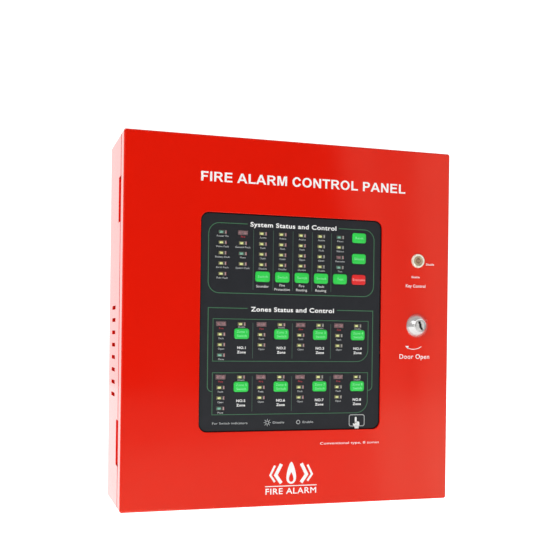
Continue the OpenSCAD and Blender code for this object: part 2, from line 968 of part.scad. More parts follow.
module door_lock_body() {
    color("silver")
    difference() {
        union() {
            translate([lock_x, face_y, lock_z])
                rotate([90, 0, 0]) cylinder(r1 = bezel_r, r2 = bezel_front_r, h = bezel_h);
            translate([lock_x, 0, lock_z]) slab(face_y, cam_y - cam_seat - face_y) barrel_section(0);
        }
        rod(lock_at, plug_r + plug_clear, lock_front - over, cam_y);
        rod(lock_at, plug_head_r + plug_clear, lock_front - over, lock_front + plug_head_t + plug_clear);
    }
}

module door_lock_nut() {
    color("silver") hex_nut(lock_at, lock_nut_r, barrel_r, skin_y, skin_y + lock_nut_t);
}

module door_lock_plug() {
    color("gainsboro")
    difference() {
        union() {
            rod(lock_at, plug_head_r, lock_front, lock_front + plug_head_t);
            rod(lock_at, plug_r, lock_front, cam_y);
            translate([lock_x, cam_y, lock_z]) cube([cam_square, 2 * cam_t, cam_square], center = true);
        }
        for (s = [-1, 1])
            translate([lock_x + s * keyway_w / 3, lock_front, lock_z + s * (keyway_l - keyway_w) / 2])
                cube([keyway_w, 2 * keyway_deep, keyway_l], center = true);
        rod(lock_at, cam_screw_r, cam_end - cam_screw_l, cam_end + over);
    }
}

module door_lock_cam() {
    color("silver")
    translate([lock_x, 0, lock_z])
        slab(cam_y, cam_t)
            difference() {
                union() {
                    circle(r = cam_w / 2);
                    translate([-cam_w / 2, -cam_l + cam_w / 4]) square([cam_w, cam_l - cam_w / 4]);
                    translate([-cam_w / 4, -cam_l]) square([cam_w / 2, cam_w / 2]);
                    for (x = [-1, 1]) translate([x * cam_w / 4, -cam_l + cam_w / 4]) circle(r = cam_w / 4);
                }
                square(cam_square + 2 * cam_square_clear, center = true);
            }
}

module cam_screw() {
    color("gainsboro")
    difference() {
        union() {
            rod(lock_at, cam_screw_r, cam_end - cam_screw_l, cam_end + eps);
            rod(lock_at, cam_screw_head_r, cam_end, cam_end + cam_screw_head_t);
        }
        for (size = [cam_screw_slot, cam_screw_cross])
            translate([lock_x, cam_end + cam_screw_head_t, lock_z]) cube(size, center = true);
    }
}

// One key: the cap in its hole, the flange behind the facia and the stem above its switch
module key_cap(at, tone) {
    front = facia_y - key_proud;
    flange_y = facia_back + key_rest_gap;
    color(tone)
    translate([at[0], 0, at[1]]) {
        slab(front, flange_y + key_flange_t - front) round_rect(key_w, key_h, key_r);
        slab(flange_y, key_flange_t)
            round_rect(key_w + 2 * key_flange, key_h + 2 * key_flange, key_r + key_flange);
        rod([0, 0], key_stem_r, flange_y, display_y - tact_h - key_travel - press_gap);
    }
}

cabinet_shell();
cable_grommets();
hinge_frame_leaves();
hinge_pins();
main_board();
board_standoffs();
cabinet_screws();
terminal_blocks();
relays();
capacitors();
fuses();
board_chips();
power_supply_case();
power_supply_terminals();
battery_left();
battery_right();
battery_terminals();
battery_strap();
earth_stud();
door_panel();
hinge_door_leaves();
facia_gasket();
facia_plate();
display_board();
display_studs();
display_spacers();
display_nuts();
leds_red();
leds_yellow();
leds_green();
tact_switches();
display_chips();
ribbon_header();
buzzer();
key_switch_body();
key_switch_nut();
key_switch_contacts();
key_switch_rotor();
door_lock_body();
door_lock_nut();
door_lock_plug();
door_lock_cam();
cam_screw();
for (key = KEYS) key_cap(key[1], key[2]);
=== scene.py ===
"""Looks of the fire alarm control panel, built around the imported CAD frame. Metres, +Z up, front along -Y."""
import math

import bmesh
import bpy
from mathutils import Matrix, Vector


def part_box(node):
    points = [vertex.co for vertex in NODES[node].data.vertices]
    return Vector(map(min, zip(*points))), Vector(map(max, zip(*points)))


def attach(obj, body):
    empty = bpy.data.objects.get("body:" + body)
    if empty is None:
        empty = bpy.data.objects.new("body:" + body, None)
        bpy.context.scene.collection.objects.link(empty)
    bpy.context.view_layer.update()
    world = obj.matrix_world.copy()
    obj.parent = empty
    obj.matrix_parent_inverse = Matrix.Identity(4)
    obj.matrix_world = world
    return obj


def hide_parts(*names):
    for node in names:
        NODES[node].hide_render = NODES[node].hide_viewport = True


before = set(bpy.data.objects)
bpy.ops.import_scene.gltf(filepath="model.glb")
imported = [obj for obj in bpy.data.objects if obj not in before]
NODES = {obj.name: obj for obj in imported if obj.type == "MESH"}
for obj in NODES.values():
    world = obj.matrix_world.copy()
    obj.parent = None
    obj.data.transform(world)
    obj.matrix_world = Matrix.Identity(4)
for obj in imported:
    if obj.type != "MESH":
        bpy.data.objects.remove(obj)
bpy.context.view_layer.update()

MM = 0.001

# Places that the frame gives
DOOR_LOW, DOOR_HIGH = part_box("door_panel")
FACIA_LOW, FACIA_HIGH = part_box("facia_plate")
FACE_Y = DOOR_LOW.y
RETURN_Y = DOOR_HIGH.y
SHEET = 1.5 * MM
SKIN_Y = FACE_Y + SHEET
LOCK = sum(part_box("door_lock_nut"), Vector()) / 2
SWITCH = sum(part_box("key_switch_nut"), Vector()) / 2


# ---- materials

def new_material(name):
    """A material with a Principled shader: the material, its node tree and the shader."""
    material = bpy.data.materials.new(name)
    material.use_nodes = True
    tree = material.node_tree
    return material, tree, tree.nodes["Principled BSDF"]


def new_node(tree, kind, **values):
    """A shader node with its inputs set. An underscore stands for a space in an input's name."""
    node = tree.nodes.new("ShaderNode" + kind)
    for name, value in values.items():
        node.inputs[name.replace("_", " ")].default_value = value
    return node


def object_noise(tree, scale, detail=4.0, rough=0.55, stretch=None):
    """Noise in object space, with about scale features per metre. stretch packs it closer along an axis."""
    where = new_node(tree, "TexCoord").outputs["Object"]
    if stretch:
        mapping = new_node(tree, "Mapping", Scale=stretch)
        tree.links.new(where, mapping.inputs["Vector"])
        where = mapping.outputs["Vector"]
    noise = new_node(tree, "TexNoise", Scale=scale, Detail=detail, Roughness=rough)
    tree.links.new(where, noise.inputs["Vector"])
    return noise.outputs["Fac"]


def spread(tree, source, low, high, start=0.3, end=0.7):
    """Maps a source of about start to end onto low to high."""
    node = new_node(tree, "MapRange", From_Min=start, From_Max=end, To_Min=low, To_Max=high)
    tree.links.new(source, node.inputs["Value"])
    return node.outputs["Result"]


def uneven(tree, scale, detail, low, high):
    """A value between low and high that follows noise."""
    return spread(tree, object_noise(tree, scale, detail), low, high)


def mixed(tree, factor, first, second):
    """A colour between two colours or sockets."""
    node = new_node(tree, "Mix")
    node.data_type = "RGBA"
    tree.links.new(factor, node.inputs["Factor"])
    for index, colour in ((6, first), (7, second)):
        if isinstance(colour, (tuple, list)):
            node.inputs[index].default_value = (*colour[:3], 1)
        else:
            tree.links.new(colour, node.inputs[index])
    return node.outputs[2]


def mottled(tree, scale, detail, colour, share):
    """A colour that goes down to a share of itself with noise."""
    return mixed(tree, uneven(tree, scale, detail, 0, 1), colour, [c * share for c in colour])


def edge_mask(tree, radius, gain):
    """About gain on convex and concave edges and 0 on flats, from the Bevel node."""
    bevel = new_node(tree, "Bevel", Radius=radius)
    bevel.samples = 4
    shape = new_node(tree, "NewGeometry")
    dot = new_node(tree, "VectorMath")
    dot.operation = "DOT_PRODUCT"
    tree.links.new(bevel.outputs["Normal"], dot.inputs[0])
    tree.links.new(shape.outputs["Normal"], dot.inputs[1])
    return spread(tree, dot.outputs["Value"], gain, 0.0, 0.75, 0.995)


def dress(tree, shader, colour, rough, height, strength, relief):
    """Wires a colour, a roughness and a bump of relief mm into the shader."""
    node = new_node(tree, "Bump", Strength=strength, Distance=relief * MM)
    tree.links.new(height, node.inputs["Height"])
    for source, name in ((colour, "Base Color"), (rough, "Roughness"), (node.outputs["Normal"], "Normal")):
        tree.links.new(source, shader.inputs[name])


def gloss_paint(tree, shader, colour, worn):
    """Glossy powder coat: faint orange peel, faint tone and gloss changes, and lighter edges."""
    base = mixed(tree, edge_mask(tree, 0.6 * MM, 0.22), mottled(tree, 6, 4, colour, 0.96), worn)
    gloss = uneven(tree, 20, 5, 0.08, 0.13)
    dress(tree, shader, base, gloss, object_noise(tree, 330, 2), 0.10, 0.008)
    shader.inputs["Specular IOR Level"].default_value = 0.52
    shader.inputs["Specular Tint"].default_value = (1, 0.86, 0.6, 1)


def metal(tree, shader, colour, rough, brushed=(1, 1, 1), grain=900, relief=0.02):
    """Metal with brushed or cast grain and brighter edges. brushed packs the grain closer along an axis."""
    shader.inputs["Metallic"].default_value = 1.0
    grainy = object_noise(tree, grain, 5, 0.5, brushed)
    bright = [min(1, c * 1.25) for c in colour]
    base = mixed(tree, edge_mask(tree, 0.3 * MM, 0.5), mottled(tree, 45, 5, colour, 0.86), bright)
    dress(tree, shader, base, spread(tree, grainy, rough * 0.75, rough * 1.3), grainy, 0.15, relief)


def plastic(tree, shader, colour, rough, grain=1400, relief=0.02, coat=0.0, edge_gain=0.3, gloss=0.5):
    """Moulded plastic: fine texture, faint mottling and paler edges."""
    paler = [min(1, c * 1.3 + 0.02) for c in colour]
    base = mixed(tree, edge_mask(tree, 0.25 * MM, edge_gain), mottled(tree, 80, 5, colour, 0.88), paler)
    dull = uneven(tree, 240, 4, rough * 0.85, rough * 1.2)
    dress(tree, shader, base, dull, object_noise(tree, grain, 3), 0.25, relief)
    shader.inputs["Coat Weight"].default_value = coat
    shader.inputs["Coat Roughness"].default_value = 0.12
    shader.inputs["Specular IOR Level"].default_value = gloss


def ink(tree, shader, colour, rough=0.45):
    """Screen-printed ink with an uneven film."""
    dull = uneven(tree, 700, 3, rough * 0.8, rough * 1.2)
    film = mottled(tree, 1500, 3, colour, 0.9)
    dress(tree, shader, film, dull, object_noise(tree, 2600, 2), 0.2, 0.01)


def circuit_board(tree, shader, mask, track):
    """Solder mask over tracks that run in a fine maze, in patches."""
    where = new_node(tree, "TexCoord")
    turn = new_node(tree, "Mapping", Rotation=(math.radians(90), 0, 0))
    bricks = new_node(tree, "TexBrick", Scale=130, Mortar_Size=0.06, Brick_Width=1.7)
    bricks.offset = 0.37
    tree.links.new(where.outputs["Object"], turn.inputs["Vector"])
    tree.links.new(turn.outputs["Vector"], bricks.inputs["Vector"])
    both = new_node(tree, "Math")
    both.operation = "MULTIPLY"
    tree.links.new(bricks.outputs["Fac"], both.inputs[0])
    tree.links.new(spread(tree, object_noise(tree, 22, 1), 0, 1, 0.48, 0.5), both.inputs[1])
    tracks = both.outputs[0]
    dress(tree, shader, mixed(tree, tracks, mask, track), uneven(tree, 300, 4, 0.22, 0.38), tracks, 0.4, 0.03)


def make_all(make, table):
    """A dictionary of materials, from a table of what follows the shader in make's arguments."""
    looks = {}
    for name, values in table.items():
        looks[name], tree, shader = new_material(name)
        make(tree, shader, *values)
    return looks


RED = (0.76, 0.0085, 0.0016)
WORN_RED = (0.80, 0.06, 0.03)
M = make_all(gloss_paint, {"paint": (RED, WORN_RED)})
M |= make_all(circuit_board, {
    "board": ((0.030, 0.040, 0.036), (0.05, 0.10, 0.07)),
    "main": ((0.006, 0.085, 0.030), (0.02, 0.20, 0.07)),
})
M |= make_all(metal, {
    "chrome": ((0.88, 0.88, 0.87), 0.22, (1, 1, 1), 120, 0.003),
    "plug": ((0.82, 0.81, 0.79), 0.32, (1, 1, 12), 700),
    "zinc": ((0.62, 0.63, 0.62), 0.34, (1, 1, 9), 420),
    "aluminium": ((0.78, 0.78, 0.79), 0.3, (1, 1, 8), 600),
    "brass": ((0.78, 0.56, 0.22), 0.3, (1, 9, 1), 500),
    "tin": ((0.80, 0.80, 0.78), 0.3),
})
COATED = (1400, 0.02, 0.2)
M |= make_all(plastic, {
    "facia": ((0.0155, 0.017, 0.021), 0.45, 1900, 0.012, 0, 0.1, 0.25),
    "key_green": ((0.035, 0.66, 0.085), 0.4, 1700, 0.01, 0.2, 0.12, 0.2),
    "key_red": ((0.80, 0.025, 0.025), 0.4, 1700, 0.01, 0.2, 0.12, 0.2),
    "cream": ((0.90, 0.87, 0.72), 0.3, 900, 0.01, 0.5),
    # tan: the darker floor in the key switch plug's groove, painted shade
    "tan": ((0.20, 0.13, 0.08), 0.5, 900, 0.01),
    "beige": ((0.60, 0.46, 0.29), 0.35, 900, 0.01),
    "copper": ((0.46, 0.28, 0.18), 0.4, 900, 0.01),
    "rubber": ((0.022, 0.022, 0.022), 0.75, 900, 0.05),
    "black": ((0.018, 0.018, 0.019), 0.5, 1500, 0.03),
    # slot: near-black, painted shade in screw slots and wells, capacitor crosses and the keyway's depth
    "slot": ((0.004, 0.004, 0.004), 0.8),
    "white": ((0.78, 0.78, 0.74), 0.45),
    "battery": ((0.045, 0.047, 0.052), 0.55, 700, 0.06),
    "battery_lid": ((0.10, 0.105, 0.11), 0.5, 700, 0.06),
    "terminal": ((0.02, 0.24, 0.085), 0.42),
    "relay": ((0.015, 0.06, 0.34), 0.3, *COATED),
    "sleeve": ((0.02, 0.022, 0.06), 0.28, 1400, 0.02, 0.3),
    "reflector": ((0.13, 0.115, 0.09), 0.4),
    "divider": ((0.05, 0.05, 0.05), 0.4),
    "end_pink": ((0.62, 0.20, 0.25), 0.35),
    "end_pale": ((0.42, 0.40, 0.37), 0.35),
    "face_red": ((0.16, 0.115, 0.115), 0.35, 300, 0.03),
    "lens_red": ((0.25, 0.135, 0.145), 0.25, *COATED),
    "lens_yellow": ((0.33, 0.33, 0.14), 0.22, *COATED),
    "lens_green": ((0.10, 0.26, 0.18), 0.22, *COATED),
    "core_red": ((0.32, 0.17, 0.18), 0.25, *COATED),
    "core_yellow": ((0.78, 0.84, 0.34), 0.22, *COATED),
    "core_green": ((0.24, 0.50, 0.38), 0.22, *COATED),
    # near-black ink for the ring of painted shadow round the facia's window
    "ink_black": ((0.003, 0.003, 0.004), 0.6, 1400, 0.02, 0, 0.02, 0.05),
})
M |= make_all(ink, {
    "ink_white": ((0.93, 0.93, 0.92),),
    "ink_door": ((0.97, 0.96, 0.95), 0.35),
    "ink_grey": ((0.60, 0.62, 0.62),),
    "ink_line": ((0.045, 0.17, 0.075),),
    "ink_divider": ((0.045, 0.105, 0.065),),
    # pale pink ink for the line of painted highlight on the window's right edge
    "ink_edge": ((0.80, 0.42, 0.42),),
    "ink_red": ((0.62, 0.03, 0.05),),
    "ink_key": ((0.30, 0.90, 0.42),),
    "ink_key_red": ((1.0, 0.45, 0.42),),
})


# ---- mesh helpers

def add_object(name, data):
    """An object with the given data, in the scene."""
    thing = bpy.data.objects.new(name, data)
    bpy.context.scene.collection.objects.link(thing)
    return thing


def add_mesh(name, bm, materials=()):
    """An object made from a bmesh, which is used up."""
    mesh = bpy.data.meshes.new(name)
    bm.to_mesh(mesh)
    bm.free()
    for material in materials:
        mesh.materials.append(material)
    return add_object(name, mesh)


def piece(name, bm, body, looks, replaces=None, smooth=40, weighted=False):
    """Turns a bmesh into a piece that rides on a body. looks is a name from M, or a list of them."""
    bmesh.ops.recalc_face_normals(bm, faces=bm.faces)
    thing = add_mesh(name, bm, [M[look] for look in ([looks] if isinstance(looks, str) else looks)])
    finish_mesh(thing, smooth, weighted)
    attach(thing, body)
    if replaces:
        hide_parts(replaces)
    return thing


def finish_mesh(thing, smooth, weighted=True):
    """Smooth shading with sharp edges above an angle, and flats that stay flat."""
    thing.data.polygons.foreach_set("use_smooth", [True] * len(thing.data.polygons))
    thing.data.set_sharp_from_angle(angle=math.radians(smooth))
    if weighted:
        normals = thing.modifiers.new("flats", "WEIGHTED_NORMAL")
        normals.keep_sharp = True
        normals.weight = 100


def rounded_ring(width, height, radius, centre=(0, 0), steps=8):
    """Points (x, z) of a rectangle with round corners, anticlockwise from the right side."""
    radius = max(min(radius, width / 2 - 1e-6, height / 2 - 1e-6), 1e-5)
    points = []
    for turn, (sx, sz) in enumerate(((1, 1), (-1, 1), (-1, -1), (1, -1))):
        x, z = centre[0] + sx * (width / 2 - radius), centre[1] + sz * (height / 2 - radius)
        points += arc(x, z, radius, 90 * turn, 90 * (turn + 1), steps)
    return points


def circle_ring(radius, centre=(0, 0), steps=64):
    """Points (x, z) of a circle."""
    return arc(*centre, radius, 0, 360, steps)[:-1]


def arc(x, z, radius, start, end, steps=10, up=None):
    """Points (x, z) of an arc, with its angles in degrees. up is an ellipse's upright radius."""
    turns = [math.radians(start + (end - start) * k / steps) for k in range(steps + 1)]
    return [(x + radius * math.cos(turn), z + (up or radius) * math.sin(turn)) for turn in turns]


def quarter(steps):
    """How far a rounded edge is drawn in and set back, in shares of its radius, from front to side."""
    turns = [math.radians(90) * k / steps for k in range(steps + 1)]
    return [(1 - math.sin(turn), 1 - math.cos(turn)) for turn in turns]


def ring_stack(bm, layers, caps=True, material=0):
    """A skin through layers of (points, y), closed at both ends by caps."""
    rings = [[bm.verts.new((x, y, z)) for x, z in points] for points, y in layers]
    faces = []
    for first, second in zip(rings, rings[1:]):
        for k in range(len(first)):
            n = (k + 1) % len(first)
            faces.append(bm.faces.new((first[k], first[n], second[n], second[k])))
    if caps:
        faces += [bm.faces.new(rings[0]), bm.faces.new(list(reversed(rings[-1])))]
    for face in faces:
        face.material_index = material
    return rings


def flat_verts(bm, points):
    """Vertices in the plane y = 0 at (x, z) points in mm."""
    return [bm.verts.new((x * MM, 0, z * MM)) for x, z in points]


def fill_plane(bm, loops):
    """Fills a flat face with holes, bounded by rings of vertices."""
    pairs = [(loop[k - 1], loop[k]) for loop in loops for k in range(len(loop))]
    edges = [bm.edges.get(pair) or bm.edges.new(pair) for pair in pairs]
    bmesh.ops.triangle_fill(bm, use_beauty=True, use_dissolve=False, edges=edges)


def lathe(bm, profile, centre, steps=96, material=0):
    """A solid of revolution along Y through centre. profile is (radius, y) from front to back."""
    middle = (centre.x, centre.z)
    ring_stack(bm, [(circle_ring(max(r, 1e-5), middle, steps), y) for r, y in profile], material=material)


def turned(start, *points):
    """A profile of (radius, y) in mm, with y counted back from start."""
    return [(r * MM, start + y * MM) for r, y in points]


def box(bm, low, high, material=0, soften=0.0):
    """A box between two corners, with its edges rounded by soften."""
    verts = bmesh.ops.create_cube(bm, size=1.0)["verts"]
    low, high = Vector(low), Vector(high)
    bmesh.ops.scale(bm, vec=high - low, verts=verts)
    bmesh.ops.translate(bm, vec=(high + low) / 2, verts=verts)
    for face in {face for vert in verts for face in vert.link_faces}:
        face.material_index = material
    if soften:
        edges = list({edge for vert in verts for edge in vert.link_edges})
        bmesh.ops.bevel(
            bm, geom=edges, offset=soften, segments=2, profile=0.5, affect="EDGES", material=material
        )


def slab(bm, x, z, half_w, half_h, front, back, material=0, soften=0.0):
    """A box around x, z, from front to back."""
    box(bm, (x - half_w, front, z - half_h), (x + half_w, back, z + half_h), material, soften)


def islands(node):
    """The boxes (low, high) of a CAD node's separate solids, in a fixed order."""
    mesh = NODES[node].data
    keys = [tuple(round(c, 6) for c in vert.co) for vert in mesh.vertices]
    parent = {key: key for key in keys}

    def find(key):
        while parent[key] != key:
            parent[key] = parent[parent[key]]
            key = parent[key]
        return key

    for polygon in mesh.polygons:
        first = find(keys[polygon.vertices[0]])
        for index in polygon.vertices[1:]:
            parent[find(keys[index])] = first
    groups = {}
    for key in parent:
        groups.setdefault(find(key), []).append(key)
    boxes = []
    for points in groups.values():
        sides = list(zip(*points))
        boxes.append((Vector([min(side) for side in sides]), Vector([max(side) for side in sides])))
    return sorted(boxes, key=lambda pair: (round(-pair[0].z, 5), round(pair[0].x, 5)))


def cutter(bm):
    """An object that only cuts."""
    bmesh.ops.recalc_face_normals(bm, faces=bm.faces)
    return add_mesh("cutter", bm)


def cut(thing, cutters, smooth):
    """Cuts closed meshes out of a piece, for good, and shades it anew."""
    thing.modifiers.clear()
    for one in cutters:
        hole = thing.modifiers.new("cut", "BOOLEAN")
        hole.object = one
        hole.operation = "DIFFERENCE"
        hole.solver = "EXACT"
    depsgraph = bpy.context.evaluated_depsgraph_get()
    result = bpy.data.meshes.new_from_object(thing.evaluated_get(depsgraph))
    thing.modifiers.clear()
    thing.data = result
    for one in cutters:
        bpy.data.objects.remove(one)
    finish_mesh(thing, smooth)


# ---- camera, lights and stage

def camera():
    """The photograph's view: from the left, turned 17 degrees to the right, with the horizon low."""
    data = bpy.data.cameras.new("camera")
    data.sensor_width = 36
    data.lens = 58.13
    data.shift_y = 0.1100
    yaw, roll = math.radians(17.29), math.radians(0.716)
    place = (-0.2962, -0.9842, -0.0128)
    upright = Matrix.Rotation(math.radians(90), 4, "X") @ Matrix.Rotation(roll, 4, "Z")
    thing = add_object("camera", data)
    thing.matrix_world = Matrix.Translation(place) @ Matrix.Rotation(-yaw, 4, "Z") @ upright
    bpy.context.scene.camera = thing


def softbox(name, place, aim, width, height, power, lean=0):
    """An area light that the camera doesn't see. lean turns it about its own axis, in degrees."""
    data = bpy.data.lights.new(name, "AREA")
    data.shape = "RECTANGLE"
    data.size, data.size_y = width, height
    data.energy = power
    thing = add_object(name, data)
    thing.location = place
    facing = (Vector(aim) - Vector(place)).to_track_quat("-Z", "Y").to_matrix()
    thing.rotation_euler = (facing @ Matrix.Rotation(math.radians(lean), 3, "Z")).to_euler()
    thing.visible_camera = False


SIDE_SKY = 0.45
BACK_SKY = 1.3


def sky():
    """A studio world: white behind the panel and greyer in front of it."""
    world = bpy.data.worlds.new("studio")
    bpy.context.scene.world = world
    world.use_nodes = True
    tree = world.node_tree
    background = tree.nodes["Background"]
    parts = new_node(tree, "SeparateXYZ")
    tree.links.new(new_node(tree, "TexCoord").outputs["Generated"], parts.inputs[0])
    level = spread(tree, parts.outputs["Y"], SIDE_SKY, BACK_SKY, -0.1, 0.4)
    tree.links.new(level, background.inputs["Strength"])
    background.inputs["Color"].default_value = (1, 1, 1, 1)


def stage_sheet(name, bm, place, noise_scale, grey, other_grey, rough):
    """A sheet of the stage in two close greys; returns the sheet, its node tree and its shader."""
    material, tree, shader = new_material(name)
    noise = spread(tree, object_noise(tree, noise_scale), 0, 1)
    tree.links.new(mixed(tree, noise, [grey] * 3, [other_grey] * 3), shader.inputs["Base Color"])
    shader.inputs["Roughness"].default_value = rough
    thing = add_mesh(name, bm, [material])
    thing.location = place
    return thing, tree, shader


def floor():
    """A pale floor far below. Its front edge crosses the door's gloss at a slant."""
    bm = bmesh.new()
    bmesh.ops.create_grid(bm, x_segments=1, y_segments=1, size=9)
    thing, tree, shader = stage_sheet("floor", bm, (3.9, 4.3, -0.75), 3, 0.93, 0.9, 0.8)
    thing.rotation_euler = (0, 0, math.radians(-42))
    parts = new_node(tree, "SeparateXYZ")
    tree.links.new(new_node(tree, "NewGeometry").outputs["Position"], parts.inputs[0])
    glow = spread(tree, parts.outputs["Y"], 0.15, 0.75, 0.3, 1.3)
    tree.links.new(glow, shader.inputs["Emission Strength"])
    shader.inputs["Emission Color"].default_value = (1, 1, 1, 1)


def flag():
    """A tall dark screen far in front, which the flat door mirrors and the camera doesn't see."""
    bm = bmesh.new()
    corners = ((-4.5, 0, -0.75), (7.5, 0, -0.75), (7.5, 0, 5.5), (-4.5, 0, 5.5))
    bm.faces.new([bm.verts.new(corner) for corner in corners])
    thing = stage_sheet("flag", bm, (0, -9.6, 0), 9, 0.02, 0.03, 0.9)[0]
    thing.visible_camera = False


def studio():
    """The world, the floor, the dark screen, and soft lights at the left, below and at the right."""
    sky()
    floor()
    flag()
    softbox("key_light", (-2.4, -2.3, 2.0), (0, 0, 0), 1.5, 1.5, 44)
    softbox("low_light", (-0.3, -1.25, -0.74), (0, -0.1, 0), 1.0, 0.3, 8.5)
    softbox("side_light", (-2.0, 1.6, 0.35), (-0.18, 0, 0), 1.8, 3.0, 6)
    for name, x, y, width, power, lean in (
        ("right_wall", 1.62, -2.50, 1.1, 4.4, 8),
        ("right_band", 1.155, -2.49, 0.12, 0.33, 8),
        ("right_glow", 1.70, -2.48, 0.72, 4.4, 3),
    ):
        softbox(name, (x, y, 0.1), (x, 0, 0.1), width, 3.2, power, lean)
    bpy.context.scene.view_settings.view_transform = "Standard"


# ---- lettering and line art

INK = 0.03 * MM
BOLD_STEP = 0.001 * MM


def text_object(text):
    """A text object in the built-in font, at text size 1."""
    data = bpy.data.curves.new("text", "FONT")
    data.body = text
    return add_object("text", data)


def measure_capital():
    """The height of a capital in the built-in font, for a text size of 1."""
    thing = text_object("H")
    bpy.context.view_layer.update()
    height = thing.dimensions.y
    bpy.data.objects.remove(thing)
    return height


CAPITAL = measure_capital()


def letter_mesh(text, cap, width, stretch, spacing):
    """A flat mesh of centred text, cap high, and width wide or else stretched sideways."""
    thing = text_object(text)
    thing.data.align_x = "CENTER"
    thing.data.space_character = spacing
    depsgraph = bpy.context.evaluated_depsgraph_get()
    mesh = bpy.data.meshes.new_from_object(thing.evaluated_get(depsgraph))
    bpy.data.objects.remove(thing)
    xs = [vert.co.x for vert in mesh.vertices]
    middle = (min(xs) + max(xs)) / 2
    scale = cap / CAPITAL
    across = width / (max(xs) - min(xs)) if width else scale * stretch
    for vert in mesh.vertices:
        vert.co = ((vert.co.x - middle) * across, 0, (vert.co.y - CAPITAL / 2) * scale)
    return mesh


class Print:
    """Collects flat shapes of one ink, then lays them on a surface as one thin piece."""

    def __init__(self, name, y, body, look, slot):
        self.name, self.y, self.body, self.look, self.slot = name, y, body, look, slot
        self.bm = bmesh.new()

    def text(self, text, x, z, cap, width=None, bold=0.0, stretch=1.12):
        """Adds text centred at x, z, in mm. Bold text is drawn once, and again shifted eight ways."""
        width = (width - 2 * bold) * MM if width else None
        ways = [(0, 0)]
        if bold:
            ways += circle_ring(bold, steps=8)
        for step, (dx, dz) in enumerate(ways):
            mesh = letter_mesh(text, (cap - 2 * bold) * MM, width, stretch, 1.08 if bold else 1.03)
            mesh.transform(Matrix.Translation(((x + dx) * MM, -step * BOLD_STEP, (z + dz) * MM)))
            self.bm.from_mesh(mesh)
            bpy.data.meshes.remove(mesh)

    def line(self, points, width, closed=False):
        """Adds a ribbon of even width, in mm, along (x, z) points in mm."""
        points = [Vector(point) for point in points]
        count = len(points)
        rungs = []
        for k, here in enumerate(points):
            ways = []
            if closed or k:
                ways.append(here - points[k - 1])
            if closed or k < count - 1:
                ways.append(points[(k + 1) % count] - here)
            ways = [way.normalized() for way in ways if way.length > 1e-9]
            along = sum(ways, Vector((0, 0))).normalized()
            normal = Vector((-along.y, along.x))
            turn = max(0.5, normal.dot(Vector((-ways[0].y, ways[0].x))))
            side = normal * (width / 2 / turn)
            rungs.append(flat_verts(self.bm, (here + side, here - side)))
        for first, second in zip(rungs, rungs[1:] + (rungs[:1] if closed else [])):
            self.bm.faces.new((first[0], first[1], second[1], second[0]))

    def shape(self, points):
        """Adds a filled outline of (x, z) points in mm."""
        face = self.bm.faces.new(flat_verts(self.bm, points))
        bmesh.ops.triangulate(self.bm, faces=[face])

    def ring(self, x, z, radius, width):
        """Adds a circle's outline, in mm."""
        self.line(circle_ring(radius, (x, z), 48), width, closed=True)

    def lay(self):
        """Makes the piece: a film INK thick, in front of the plane y."""
        bmesh.ops.remove_doubles(self.bm, verts=self.bm.verts, dist=1e-7)
        faces = list(self.bm.faces)
        bmesh.ops.recalc_face_normals(self.bm, faces=faces)
        for item in bmesh.ops.extrude_face_region(self.bm, geom=faces)["geom"]:
            if isinstance(item, bmesh.types.BMVert):
                item.co.y -= INK
        for vert in self.bm.verts:
            vert.co.y += self.y
        piece(self.name, self.bm, self.body, self.look, smooth=20)


# ---- door

PRESS_R = 2.0 * MM
CORNER_R = 2.4 * MM
WINDOW_R = 8.5 * MM
WINDOW_ROUND = 0.5 * MM
FACIA_MARGIN = 8 * MM
WINDOW_W = FACIA_HIGH.x - FACIA_LOW.x - 2 * FACIA_MARGIN
WINDOW_H = FACIA_HIGH.z - FACIA_LOW.z - 2 * FACIA_MARGIN
WINDOW_X = (FACIA_LOW.x + FACIA_HIGH.x) / 2
LIP = 0.2 * MM
LOCK_HOLE_R = 9.6 * MM
SWITCH_HOLE_R = 6.1 * MM


def door_tray():
    """The door's folded tray, with its display window, lock holes and hinge notches."""
    width = DOOR_HIGH.x - DOOR_LOW.x
    height = DOOR_HIGH.z - DOOR_LOW.z

    def ring(inset):
        return rounded_ring(width - 2 * inset, height - 2 * inset, max(CORNER_R - inset, 0.25 * MM))

    def window(grow):
        return rounded_ring(WINDOW_W + 2 * grow, WINDOW_H + 2 * grow, WINDOW_R + grow, (WINDOW_X, 0))

    skin = [(ring(PRESS_R * inward), FACE_Y + PRESS_R * back) for inward, back in quarter(6)]
    skin += [(ring(0), RETURN_Y - LIP), (ring(LIP), RETURN_Y), (ring(SHEET - LIP), RETURN_Y)]
    skin += [(ring(SHEET), RETURN_Y - LIP), (ring(SHEET), SKIN_Y + 1 * MM), (ring(SHEET + 1 * MM), SKIN_Y)]
    opening = [(window(WINDOW_ROUND * inward), FACE_Y + WINDOW_ROUND * back) for inward, back in quarter(3)]
    walls = [skin, opening + [(window(0), SKIN_Y)]]
    for centre, radius in ((LOCK, LOCK_HOLE_R), (SWITCH, SWITCH_HOLE_R)):
        points = circle_ring(radius, (centre.x, centre.z))
        walls.append([(points, FACE_Y), (points, SKIN_Y)])
    bm = bmesh.new()
    made = [ring_stack(bm, wall, caps=False) for wall in walls]
    fill_plane(bm, [rings[0] for rings in made])
    fill_plane(bm, [rings[-1] for rings in made])
    tray = piece("door_tray", bm, "door", "paint", "door_panel")
    notches = []
    for low, high in islands("hinge_door_leaves"):
        bm = bmesh.new()
        box(
            bm, (DOOR_LOW.x - 1 * MM, RETURN_Y - 2.2 * MM, low.z - 1.2 * MM),
            (DOOR_LOW.x + SHEET + 1.2 * MM, RETURN_Y + 1 * MM, high.z + 1.2 * MM),
        )
        notches.append(cutter(bm))
    cut(tray, notches, 40)


